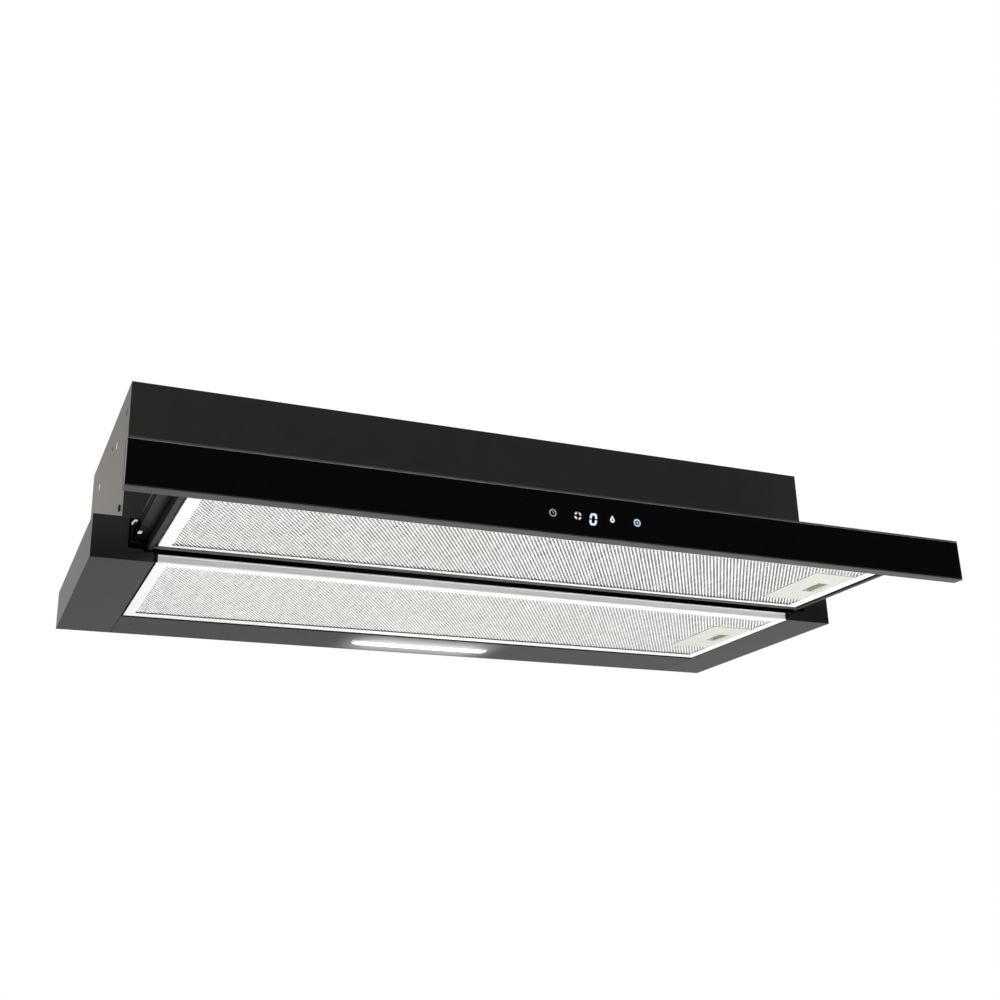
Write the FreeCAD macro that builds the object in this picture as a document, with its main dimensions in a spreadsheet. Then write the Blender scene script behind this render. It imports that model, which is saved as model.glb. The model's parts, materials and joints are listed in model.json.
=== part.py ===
import FreeCAD, Part
import math
import os
import re
import Sketcher

# Slide-out cooker hood for building into a wall cabinet, with its drawer pulled out.
# Places are measured from the tray: X to the right, Y backwards from the front plane of the
# casing, Z up from the tray's underside. The model's own origin is the centre of the air
# outlet on the casing's top, and every piece is moved there by its Placement.

doc = FreeCAD.newDocument("cooker_hood")
sheet = doc.addObject("Spreadsheet::Sheet", "Sizes")

SIZES = {
    # Folded steel casing on its tray
    "tray_w": 796, "tray_d": 275, "tray_h": 40.5, "casing_h": 132.5, "steel": 1,
    "cabinet_ledge": 25, "rear_step": 10, "return_d": 34,
    # Drawer channel through the tray, and the opening for the fixed filter
    "cheek_w": 32, "sill_w": 24, "sill_h": 11.8, "lip_h": 9.4, "lip_w": 10, "upstand_h": 8,
    "rear_ledge_d": 20,
    # General clearances
    "slack": 0.3, "running": 0.05, "overrun": 2,
    # Lamp in the strip behind the fixed filter
    "lamp_w": 166, "lamp_d": 18, "lamp_back": 36, "lamp_rim": 2, "lamp_lens_h": 3,
    "lamp_box_h": 13, "board_t": 1.6, "chip_spacing": 12, "chip_w": 3.5, "chip_h": 0.8,
    # Grease filters
    "filter_side_gap": 0.5, "fixed_filter_d": 196.2, "drawer_filter_gap": 2.5,
    "drawer_filter_less": 46.5, "filter_h": 8, "filter_border": 11.5, "narrow_border": 7, "filter_wall": 0.8,
    "mesh_t": 0.8, "tab_spacing": 100, "tongue_w": 10, "tongue_h": 3, "tongue_z": 2.5,
    "tongue_out": 5, "latch_plate_w": 48, "latch_plate_d": 90, "latch_inset": 0.4,
    "recess_d": 30, "recess_h": 5.5, "recess_edge": 7.5, "finger_w": 4, "finger_inset": 0.5,
    "finger_room": 4.5, "latch_travel": 6,
    # Drawer
    "travel": 194, "drawer_rise": 0.4, "roof_gap": 3.5, "drawer_flange": 5,
    "drawer_back": 5, "rear_bar_d": 10, "rear_bar_h": 7, "filter_seat": 2,
    "filter_lift": 0.1, "filter_gap": 12.5,
    # Glass front on its holder
    "glass_over": 1, "glass_t": 4, "panel_h": 39.7, "panel_drop": 5.7, "panel_d": 11.8,
    "rib_t": 2, "rib_low": 5.7, "rib_high": 31.7, "cap_t": 1, "bumper_r": 5, "bumper_h": 1.1,
    "touch_w": 110, "touch_h": 15, "touch_z": 5, "display_w": 12, "display_x": -8.2,
    "foot_h": 1.2, "foot_w": 4,
    # Ball rails
    "bracket_w": 2, "bracket_l": 200, "bracket_h": 14, "bracket_y": 20, "rail_depth": 14,
    "rail_rise": 5.2, "rail_h": 20, "rail_t": 1, "rail_lip_gap": 1.5, "rail_front_gap": 5.4,
    "inner_tail": 44, "race_gap": 2.6, "cage_inset": 3, "cage_gap": 0.6, "cage_t": 0.8,
    "ball_r": 1.1, "ball_count": 4,
    # Air outlet with its two flaps
    "outlet_r": 60, "outlet_wall": 1.5, "outlet_h": 28, "flange_w": 12, "flange_t": 1.5,
    "flap_z": 12, "flap_t": 1.2, "flap_gap": 1, "flap_pin_r": 1.5, "flap_pin_x": 3,
    "flap_barrel_r": 2.6, "stop_w": 3, "stop_t": 2,
    # Blower
    "blower_drop": 73, "scroll_r_small": 48, "scroll_r_large": 58, "scroll_l": 240,
    "scroll_t": 2, "tower_d": 124, "inlet_r": 36, "impeller_r": 44, "impeller_gap": 8,
    "blade_w": 8, "blade_t": 1, "blade_tilt": 35, "impeller_plate": 2, "hub_r": 9,
    "hub_l": 14, "motor_r": 38, "motor_l": 60, "motor_gap": 6, "shaft_r": 4,
    "bracket_t": 3,
    # Electrics in the casing
    "control_w": 140, "control_d": 100, "control_h": 41, "control_edge": 180, "control_y": 150,
    "control_t": 2, "capacitor_r": 15, "capacitor_l": 60, "capacitor_x": 180,
    "gland_edge": 113, "gland_z": 110, "gland_r": 8, "gland_rim": 4, "gland_rim_t": 3,
    "gland_l": 16, "cord_r": 4,
    # Fasteners and the holes for fixing the hood in its cabinet
    "screw_r": 1.7, "screw_head_r": 3.3, "screw_head_h": 1.8, "screw_hole_r": 1.9,
    "screw_y": 22, "screw_low": 55, "screw_high": 150, "holder_screw_z": 16,
    "holder_screw_spacing": 180, "side_hole_r": 2.5, "side_hole_y": 78, "side_hole_spacing": 123,
    "side_hole_drop": 35.5, "peg_hole_y": 111, "peg_hole_drop": 26,
}
# Places and sizes that follow from the sheet
DERIVED = {
    "casing_top": "tray_h + casing_h",
    "casing_w": "tray_w - 2 * cabinet_ledge",
    "casing_d": "tray_d - rear_step",
    "casing_low": "tray_h - steel",
    "channel_w": "tray_w - 2 * cheek_w",
    "aperture_w": "channel_w - 2 * sill_w",
    "outlet_y": "casing_d / 2",
    "lamp_y": "tray_d - lamp_back",
    "side_hole_z": "casing_top - side_hole_drop",
    "peg_hole_z": "casing_top - peg_hole_drop",
    "fixed_filter_w": "aperture_w - 2 * filter_side_gap",
    "rail_x": "channel_w / 2 - bracket_w",
    "drawer_w": "channel_w - 2 * bracket_w - 2 * rail_depth",
    "drawer_filter_w": "drawer_w - 2 * drawer_flange - 2 * drawer_filter_gap",
    "drawer_filter_d": "travel - drawer_filter_less",
    "drawer_z": "lip_h + drawer_rise",
    "drawer_h": "tray_h - roof_gap - drawer_z",
    "drawer_front": "-(travel + bumper_h + slack)",
    "reach": "panel_d + travel + bumper_h + slack",
    "recess_w": "finger_room + latch_travel + finger_w + finger_inset",
    "glass_w": "tray_w + 2 * glass_over",
    "bumper_x": "(tray_w + channel_w) / 4",
    "bumper_z": "tray_h / 2",
    "rail_z": "sill_h + rail_rise",
    "control_x": "casing_w / 2 - control_edge",
    "gland_x": "casing_w / 2 - gland_edge",
    "rail_w": "rail_depth - rail_t - rail_lip_gap",
    "inner_w": "rail_depth - rail_t - cage_t - 2 * cage_gap",
}
BLADE_COUNT = 24
CHIP_COUNT = 13
SPIRAL_START_DEG = 30
SPIRAL_END_DEG = -180
SPIRAL_ARCS = 4

for row, (alias, value) in enumerate(SIZES.items(), start=1):
    sheet.set("A%d" % row, alias)
    sheet.set("B%d" % row, str(value))
    sheet.setAlias("B%d" % row, alias)
doc.recompute()

X_AXIS = FreeCAD.Vector(1, 0, 0)
Y_AXIS = FreeCAD.Vector(0, 1, 0)
Z_AXIS = FreeCAD.Vector(0, 0, 1)
NO_TURN = FreeCAD.Rotation()
ALONG_X = FreeCAD.Rotation(Z_AXIS, X_AXIS)
ALONG_Y = FreeCAD.Rotation(Z_AXIS, Y_AXIS)
ORIGIN_SHIFT = ("0", "-outlet_y", "-casing_top")
nodes = []


def formula(text):
    """Turns the names in a formula into references to the sheet."""
    def swap(match):
        name = match.group()
        if name in DERIVED:
            return "(%s)" % formula(DERIVED[name])
        return "Sizes." + name if name in SIZES else name
    return re.sub(r"[a-z]\w*", swap, text)


def size(name):
    """The present value of a sheet cell."""
    return float(sheet.get(name))


def put(obj, x, y, z, turn=NO_TURN):
    """Binds a Placement to formulas measured from the tray's front lower edge."""
    obj.Placement = FreeCAD.Placement(FreeCAD.Vector(), turn)
    for axis, place, shift in zip("xyz", (x, y, z), ORIGIN_SHIFT):
        obj.setExpression("Placement.Base." + axis, formula("(%s) + (%s)" % (place, shift)))
    return obj


def box(name, x, y, z, side=1):
    """A box between two formulas on each axis; side -1 mirrors it to the left."""
    obj = doc.addObject("Part::Box", name)
    for prop, (low, high) in zip(("Length", "Width", "Height"), (x, y, z)):
        obj.setExpression(prop, formula("(%s) - (%s)" % (high, low)))
    low_x = x[0] if side > 0 else "-(%s)" % x[1]
    return put(obj, low_x, y[0], z[0])


def cylinder(name, radius, length, x, y, z, turn=NO_TURN):
    obj = doc.addObject("Part::Cylinder", name)
    obj.setExpression("Radius", formula(radius))
    obj.setExpression("Height", formula(length))
    return put(obj, x, y, z, turn)


def sphere(name, radius, x, y, z):
    obj = doc.addObject("Part::Sphere", name)
    obj.setExpression("Radius", formula(radius))
    return put(obj, x, y, z)


def fuse(name, pieces):
    obj = doc.addObject("Part::MultiFuse", name)
    obj.Shapes = pieces
    obj.Refine = True
    return obj


def group(name, pieces):
    """Separate solids that share one node."""
    obj = doc.addObject("Part::Compound", name)
    obj.Links = pieces
    return obj


def cut(name, base, tools):
    """The base less all the tools."""
    obj = doc.addObject("Part::Cut", name)
    obj.Base = base
    obj.Tool = tools[0] if len(tools) == 1 else fuse(name + "_tools", tools)
    return obj


def node(label, obj):
    """Names a finished sub-part."""
    obj.Label = label
    nodes.append(obj)
    return obj


def plane_of(body, role):
    return [f for f in body.Origin.OriginFeatures if f.Role == role][0]


def sketch_outline(body, name, role, corners):
    """A closed outline through corners given as pairs of formulas, fully dimensioned."""
    sketch = body.newObject("Sketcher::SketchObject", name)
    sketch.AttachmentSupport = [(plane_of(body, role), "")]
    sketch.MapMode = "FlatFace"
    count = len(corners)
    start = [FreeCAD.Vector(i, i * i, 0) for i in range(count)]
    for i in range(count):
        sketch.addGeometry(Part.LineSegment(start[i], start[(i + 1) % count]), False)
    for i in range(count):
        sketch.addConstraint(Sketcher.Constraint("Coincident", i, 2, (i + 1) % count, 1))
    for i, corner in enumerate(corners):
        for kind, place in zip(("DistanceX", "DistanceY"), corner):
            number = sketch.addConstraint(Sketcher.Constraint(kind, i, 1, float(i + 1)))
            sketch.setExpression("Constraints[%d]" % number, formula(place))
    return sketch


def folded(name, role, corners, length, x="0", y="0", z="0"):
    """Folded sheet: an outline drawn on an origin plane and padded along its normal."""
    body = doc.addObject("PartDesign::Body", name)
    sketch = sketch_outline(body, name + "_outline", role, corners)
    pad = body.newObject("PartDesign::Pad", name + "_pad")
    pad.Profile = sketch
    pad.setExpression("Length", formula(length))
    return put(body, x, y, z)


def turned(name, corners, x, y, z):
    """A turned piece: an outline of radius and height, revolved about Z."""
    body = doc.addObject("PartDesign::Body", name)
    sketch = sketch_outline(body, name + "_outline", "XZ_Plane", corners)
    revolution = body.newObject("PartDesign::Revolution", name + "_turn")
    revolution.Profile = sketch
    revolution.ReferenceAxis = (sketch, ["V_Axis"])
    return put(body, x, y, z)


def drill_x(name, radius, y, z):
    """A cutter along X, through both sides of the casing."""
    return cylinder(name, radius, "casing_w + 2 * overrun", "-casing_w / 2 - overrun", y, z, ALONG_X)


def drill_y(name, radius, x, y, length, z):
    return cylinder(name, radius, length, x, y, z, ALONG_Y)


SIDES = (("left", -1), ("right", 1))


# Casing

half = "casing_w / 2"
screw_places = (("low", "screw_y", "screw_low"), ("high", "screw_y", "screw_high"))


def screw_drills(name):
    return [drill_x(name + "_drill_" + tag, "screw_hole_r", y, z) for tag, y, z in screw_places]


def casing_front_panel():
    """Front sheet with a return behind each side panel."""
    right = [(half, "0"), (half, "steel"), (half + " - steel", "steel"), (half + " - steel", "return_d"),
             (half + " - 2 * steel", "return_d"), (half + " - 2 * steel", "steel")]
    left = [("-(%s)" % x, y) for x, y in reversed(right)]
    shell = folded("front_fold", "XY_Plane", right + left, "casing_top - steel - casing_low",
                   z="casing_low")
    node("casing_front_panel", cut("front_cut", shell, screw_drills("front")))


def casing_side(tag, side):
    plate = box("side_plate_" + tag, (half + " - steel", half), ("steel", "casing_d"),
                ("casing_low", "casing_top - steel"), side)
    holes = screw_drills("side_" + tag)
    for number, y in enumerate(("side_hole_y", "side_hole_y + side_hole_spacing")):
        holes.append(drill_x("side_%s_mount_%d" % (tag, number), "side_hole_r", y, "side_hole_z"))
    holes.append(drill_x("side_%s_peg" % tag, "side_hole_r", "peg_hole_y", "peg_hole_z"))
    node("casing_side_" + tag, cut("side_cut_" + tag, plate, holes))


def casing_rear_panel():
    plate = box("rear_plate", ("-%s + steel" % half, half + " - steel"), ("casing_d - steel", "casing_d"),
                ("tray_h", "casing_top - steel"))
    hole = drill_y("rear_gland_hole", "gland_r", "gland_x", "casing_d - steel - overrun",
                   "steel + 2 * overrun", "gland_z")
    node("casing_rear_panel", cut("rear_cut", plate, [hole]))


def casing_top_panel():
    plate = box("top_plate", ("-%s" % half, half), ("0", "casing_d"), ("casing_top - steel", "casing_top"))
    hole = cylinder("top_hole", "outlet_r - outlet_wall", "steel + 2 * overrun", "0", "outlet_y",
                    "casing_top - steel - overrun")
    node("casing_top_panel", cut("top_cut", plate, [hole]))


def casing_screws():
    """Pan-head screws through the side panels into the front panel's returns."""
    screws = []
    for tag, side in SIDES:
        for place, y, z in screw_places:
            name = "screw_%s_%s" % (tag, place)
            head_x = half if side > 0 else "-(%s) - screw_head_h" % half
            shank_x = half + " - 3 * steel" if side > 0 else "-(%s)" % half
            head = cylinder(name + "_head", "screw_head_r", "screw_head_h", head_x, y, z, ALONG_X)
            shank = cylinder(name + "_shank", "screw_r", "3 * steel", shank_x, y, z, ALONG_X)
            screws.append(fuse(name, [head, shank]))
    node("casing_screws", group("casing_screw_set", screws))


# Tray

def tray_side(tag, side):
    """Closed sheet section beside the drawer: a seat for the casing, a stepped ledge and a front plate."""
    outer, channel, edge = "tray_w / 2", "channel_w / 2", "aperture_w / 2"
    step = edge + " + lip_w"
    outline = [(outer, "0"), (outer, "tray_h"), (half, "tray_h"), (half, "casing_low"),
               (channel, "casing_low"), (channel, "sill_h"),
               (step, "sill_h"), (step, "lip_h"), (edge, "lip_h"), (edge, "0")]
    inside = [(outer + " - steel", "steel"), (outer + " - steel", "tray_h - steel"),
              (half + " + steel", "tray_h - steel"), (half + " + steel", "casing_low - steel"),
              (channel + " + steel", "casing_low - steel"), (channel + " + steel", "sill_h - steel"),
              (step + " + steel", "sill_h - steel"), (step + " + steel", "lip_h - steel"),
              (edge + " + steel", "lip_h - steel"), (edge + " + steel", "steel")]
    sign = "" if side > 0 else "-"
    bodies = []
    for name, corners, start, length in (("shell", outline, "0", "tray_d - steel"),
                                         ("hollow", inside, "steel", "tray_d - 2 * steel + overrun")):
        points = [(sign + "(%s)" % x, z) for x, z in corners]
        bodies.append(folded("tray_%s_%s" % (name, tag), "XZ_Plane", points, length,
                             y="%s + %s" % (start, length)))
    slots = [bodies[1]]
    middle = "slack + fixed_filter_d / 2"
    if side > 0:
        slot_rows = [(middle, "tongue_w / 2 + 2 * slack")]
    else:
        slot_rows = [(middle + " - tab_spacing / 2", "tongue_w / 2 + 2 * slack"),
                     (middle + " + tab_spacing / 2", "tongue_w / 2 + 2 * slack")]
    for number, (y, reach) in enumerate(slot_rows):
        slots.append(box("tray_slot_%s_%d" % (tag, number),
                         (edge + " - overrun", edge + " + steel + overrun"),
                         ("%s - (%s)" % (y, reach), "%s + %s" % (y, reach)),
                         ("tongue_z - slack", "tongue_z + tongue_h + slack"), side))
    node("tray_side_" + tag, cut("tray_cut_" + tag, bodies[0], slots))


def tray_rear_strip():
    """Bottom plate behind the fixed filter, with the lamp's window and an upstand."""
    front = "2 * slack + fixed_filter_d"
    plate = box("strip_plate", ("-aperture_w / 2", "aperture_w / 2"), (front, "tray_d - steel"),
                ("0", "steel"))
    upstand = box("strip_upstand", ("-aperture_w / 2", "aperture_w / 2"), (front, front + " + steel"),
                  ("0", "upstand_h"))
    window = box("strip_window", ("-lamp_w / 2 - slack", "lamp_w / 2 + slack"),
                 ("lamp_y - lamp_d / 2 - slack", "lamp_y + lamp_d / 2 + slack"),
                 ("-overrun", "steel + overrun"))
    node("tray_rear_strip", cut("strip_cut", fuse("strip_fold", [plate, upstand]), [window]))


def tray_rear_wall():
    """Rear wall with a ledge that carries the back of the casing."""
    wall = box("rear_wall", ("-tray_w / 2", "tray_w / 2"), ("tray_d - steel", "tray_d"), ("0", "tray_h"))
    ledge = box("rear_ledge", ("-channel_w / 2", "channel_w / 2"), ("tray_d - rear_ledge_d", "tray_d"),
                ("tray_h - steel", "tray_h"))
    node("tray_rear_wall", fuse("rear_wall_fold", [wall, ledge]))


# Lamp

def lamp():
    lens_body = box("lens_body", ("-lamp_w / 2", "lamp_w / 2"),
                    ("lamp_y - lamp_d / 2", "lamp_y + lamp_d / 2"),
                    ("0", "lamp_lens_h"))
    rim_x = "lamp_w / 2 + lamp_rim"
    rim_y = "lamp_d / 2 + lamp_rim"
    lens_rim = box("lens_rim", ("-(%s)" % rim_x, rim_x), ("lamp_y - (%s)" % rim_y, "lamp_y + (%s)" % rim_y),
                   ("steel", "lamp_lens_h"))
    node("lamp_lens", fuse("lens", [lens_body, lens_rim]))
    room = box("lamp_room", ("-(%s) + steel" % rim_x, rim_x + " - steel"),
               ("lamp_y - (%s) + steel" % rim_y, "lamp_y + %s - steel" % rim_y),
               ("lamp_lens_h - overrun", "lamp_box_h - steel"))
    shell = box("lamp_shell", ("-(%s)" % rim_x, rim_x), ("lamp_y - (%s)" % rim_y, "lamp_y + (%s)" % rim_y),
                ("lamp_lens_h", "lamp_box_h"))
    node("lamp_holder", cut("lamp_holder_cut", shell, [room]))
    board_z = "lamp_box_h - steel - board_t"
    board = box("led_plate", ("-lamp_w / 2", "lamp_w / 2"), ("lamp_y - lamp_d / 2", "lamp_y + lamp_d / 2"),
                (board_z, "lamp_box_h - steel"))
    chips = []
    for number in range(CHIP_COUNT):
        x = "%d * chip_spacing" % (number - CHIP_COUNT // 2)
        chips.append(box("led_chip_%d" % number, (x + " - chip_w / 2", x + " + chip_w / 2"),
                         ("lamp_y - chip_w / 2", "lamp_y + chip_w / 2"), (board_z + " - chip_h", board_z)))
    node("lamp_led_board", fuse("led_board", [board] + chips))


# Grease filters

def filter_set(kind, width, depth, front, low, rear_border):
    """Frame, mesh, packing, latch plate and latch of one grease filter."""
    half_w = "%s / 2" % width
    middle = "%s + %s / 2" % (front, depth)
    rear = "%s + %s" % (front, depth)
    high = low + " + filter_h"
    wall, border = "filter_wall", "filter_border"

    def part(piece):
        return "%s_filter_%s" % (kind, piece)

    rim = box(part("rim"), ("-" + half_w, half_w), (front, rear), (low, high))
    window = box(part("window"), ("-%s + %s" % (half_w, border), "%s - %s" % (half_w, border)),
                 ("%s + %s" % (front, border), "%s - %s" % (rear, rear_border)),
                 (low + " - overrun", high + " + overrun"))
    groove = box(part("groove"), ("-%s + %s" % (half_w, wall), "%s - %s" % (half_w, wall)),
                 ("%s + %s" % (front, wall), "%s - %s" % (rear, wall)),
                 ("%s + %s" % (low, wall), "%s - %s" % (high, wall)))
    tongue_z = (low + " + tongue_z", low + " + tongue_z + tongue_h")
    tabs = []
    for tag, sign in (("front", "-"), ("back", "+")):
        y = "%s %s tab_spacing / 2" % (middle, sign)
        tabs.append(box(part("tab_" + tag), ("-%s - tongue_out" % half_w, "-%s + %s" % (half_w, wall)),
                        (y + " - tongue_w / 2", y + " + tongue_w / 2"), tongue_z))
    tongue_hole = box(part("tongue_hole"), ("%s - %s" % (half_w, wall + " - overrun"), half_w + " + overrun"),
                      ("%s - tongue_w / 2 - slack" % middle, "%s + tongue_w / 2 + slack" % middle),
                      (tongue_z[0] + " - slack", tongue_z[1] + " + slack"))
    hollow = cut(part("fold"), rim, [window, groove])
    node(part("frame"), cut(part("frame_cut"), fuse(part("fold_tabs"), [hollow] + tabs), [tongue_hole]))

    plate_x = ("%s - %s - latch_plate_w" % (half_w, border), "%s - %s" % (half_w, border))
    plate_y = ("%s - latch_plate_d / 2" % middle, "%s + latch_plate_d / 2" % middle)

    def slab(piece, z, grip):
        """A layer in the frame's groove, cut out round the latch plate and the tongue."""
        layer = box(part(piece), ("-%s + %s" % (half_w, grip), "%s - %s" % (half_w, grip)),
                    ("%s + %s" % (front, grip), "%s - %s" % (rear, grip)), z)
        gap = box(part(piece + "_gap"), (plate_x[0] + " - slack", half_w),
                  (plate_y[0] + " - slack", plate_y[1] + " + slack"),
                  (z[0] + " - overrun", z[1] + " + overrun"))
        return cut(part(piece + "_cut"), layer, [gap])

    grip = "(%s + slack)" % wall
    skin_low = (low + " + filter_wall", low + " + filter_wall + mesh_t")
    skin_high = (high + " - filter_wall - mesh_t", high + " - filter_wall")
    node(part("mesh"),
         group(part("mesh_pair"), [slab("skin_low", skin_low, grip), slab("skin_high", skin_high, grip)]))
    node(part("core"), slab("packing", (skin_low[1], skin_high[0]), grip))

    plate = box(part("plate"), plate_x, plate_y, (low + " + latch_inset", high + " - filter_wall"))
    recess_high = "%s - recess_edge" % plate_x[1]
    recess_y = ("%s - recess_d / 2" % middle, "%s + recess_d / 2" % middle)
    recess = box(part("recess"), (recess_high + " - recess_w", recess_high), recess_y,
                 (low + " - overrun", low + " + recess_h"))
    channel = box(part("channel"), (recess_high + " - recess_w / 2", plate_x[1] + " + overrun"),
                  ("%s - tongue_w / 2 - slack" % middle, "%s + tongue_w / 2 + slack" % middle),
                  (tongue_z[0] + " - slack", tongue_z[1] + " + slack"))
    node(part("latch_plate"), cut(part("plate_cut"), plate, [recess, channel]))

    finger_x = (recess_high + " - finger_inset - finger_w", recess_high + " - finger_inset")
    tongue = box(part("tongue"), (finger_x[0], half_w + " + tongue_out"),
                 ("%s - tongue_w / 2" % middle, "%s + tongue_w / 2" % middle), tongue_z)
    finger = box(part("finger"), finger_x, (recess_y[0] + " + 2 * slack", recess_y[1] + " - 2 * slack"),
                 (low + " + latch_inset", low + " + recess_h - slack"))
    node(part("latch"), fuse(part("latch_bolt"), [tongue, finger]))


# Drawer

drawer_top = "drawer_z + drawer_h"
inner_half = "drawer_w / 2 - drawer_flange"


def drawer_side(tag, side):
    wall = box("drawer_wall_" + tag, ("drawer_w / 2 - steel", "drawer_w / 2"),
               ("drawer_front", "-drawer_back"),
               ("drawer_z", drawer_top + " - steel"), side)
    flange = box("drawer_flange_" + tag, (inner_half, "drawer_w / 2"), ("drawer_front", "-drawer_back"),
                 ("drawer_z", "drawer_z + steel"), side)
    node("drawer_side_" + tag, fuse("drawer_fold_" + tag, [wall, flange]))


def drawer_bar(name, y_web, y_flange, height):
    """An angle across the drawer: an upright web and a flange that carries a filter's edge."""
    span = ("-(%s)" % inner_half, inner_half)
    web = box(name + "_web", span, y_web, ("drawer_z", "drawer_z + %s" % height))
    flange = box(name + "_flange", span, y_flange, ("drawer_z", "drawer_z + steel"))
    return fuse(name + "_fold", [web, flange])


holder_screw_x = ["%s * holder_screw_spacing" % share for share in ("-1.5", "-0.5", "0.5", "1.5")]


def holder_drills(name):
    return [drill_y("%s_%d" % (name, i), "screw_hole_r", x, "drawer_front - steel - overrun",
                    "2 * steel + 2 * overrun", "holder_screw_z") for i, x in enumerate(holder_screw_x)]


def drawer():
    for tag, side in SIDES:
        drawer_side(tag, side)
    cover = box("cover", ("-drawer_w / 2", "drawer_w / 2"), ("drawer_front", "-drawer_back"),
                (drawer_top + " - steel", drawer_top))
    node("drawer_top_cover", cover)
    rear = drawer_bar("rear_bar", ("-drawer_back - steel", "-drawer_back"),
                      ("-drawer_back - rear_bar_d", "-drawer_back"),
                      "rear_bar_h")
    node("drawer_rear_bar", rear)
    seat = "-filter_gap - drawer_filter_d + filter_seat"
    front = drawer_bar("front_bar", ("drawer_front", "drawer_front + steel"), ("drawer_front", seat),
                       "drawer_h - steel")
    node("drawer_front_bar", cut("front_bar_cut", front, holder_drills("front_bar_drill")))


def glass_front():
    face = "-reach"
    low, high = "-panel_drop", "panel_h - panel_drop"
    span = ("-glass_w / 2", "glass_w / 2")
    short = ("-glass_w / 2 + cap_t", "glass_w / 2 - cap_t")
    glass_back = face + " + glass_t"
    node("front_glass",
         box("glass", span, (face, glass_back), (low + " + steel + slack", high + " - steel - slack")))
    back = box("holder_back", span, ("drawer_front - steel", "drawer_front"), (low, high))
    lip_low = box("holder_lip_low", span, (face, "drawer_front"), (low, low + " + steel"))
    lip_high = box("holder_lip_high", span, (face, "drawer_front"), (high + " - steel", high))
    ribs = [box("holder_rib_" + rib, short, (glass_back + " + slack", "drawer_front"),
                (low + " + " + rib, low + " + %s + rib_t" % rib))
            for rib in ("rib_low", "rib_high")]
    node("glass_holder",
         cut("holder_cut", fuse("holder", [back, lip_low, lip_high] + ribs), holder_drills("holder_drill")))
    caps = [box("cap_" + tag, ("glass_w / 2 - cap_t", "glass_w / 2"),
                (glass_back + " + slack", "drawer_front - steel"),
                (low + " + steel", high + " - steel"), side) for tag, side in SIDES]
    node("holder_end_caps", group("cap_pair", caps))
    bumpers = [cylinder("bumper_" + tag, "bumper_r", "bumper_h", "%d * bumper_x" % side, "drawer_front",
                        "bumper_z", ALONG_Y)
               for tag, side in SIDES]
    node("drawer_bumpers", group("bumper_pair", bumpers))
    screws = []
    for number, x in enumerate(holder_screw_x):
        head = cylinder("holder_screw_head_%d" % number, "screw_head_r", "screw_head_h", x,
                        "drawer_front + steel",
                        "holder_screw_z", ALONG_Y)
        shank = cylinder("holder_screw_shank_%d" % number, "screw_r", "3 * steel", x,
                         "drawer_front - 2 * steel",
                         "holder_screw_z", ALONG_Y)
        screws.append(fuse("holder_screw_%d" % number, [head, shank]))
    node("holder_screws", group("holder_screw_set", screws))


def touch_control():
    """Sensor board behind the glass on four feet, with the digit's display in front of it."""
    back = "drawer_front - steel"
    board_y = (back + " - foot_h - board_t", back + " - foot_h")
    x = ("display_x - touch_w / 2", "display_x + touch_w / 2")
    z = ("touch_z", "touch_z + touch_h")
    pieces = [box("touch_plate", x, board_y, z)]
    for tag_x, foot_x in (("left", (x[0], x[0] + " + foot_w")), ("right", (x[1] + " - foot_w", x[1]))):
        for tag_z, foot_z in (("low", (z[0], z[0] + " + foot_w")), ("high", (z[1] + " - foot_w", z[1]))):
            pieces.append(box("touch_foot_%s_%s" % (tag_x, tag_z), foot_x, (board_y[1], back), foot_z))
    node("touch_board", fuse("touch", pieces))
    display = box("display", ("display_x - display_w / 2", "display_x + display_w / 2"),
                  ("-reach + glass_t + slack", board_y[0]), z)
    node("display_module", display)


# Rails

def rail_channel(name, x_web, x_flange, y, z, side):
    """A channel with its web on edge and two flanges."""
    web = box(name + "_web", x_web, y, z, side)
    low = box(name + "_low", x_flange, y, (z[0], z[0] + " + rail_t"), side)
    high = box(name + "_high", x_flange, y, (z[1] + " - rail_t", z[1]), side)
    return fuse(name, [web, low, high])


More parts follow.
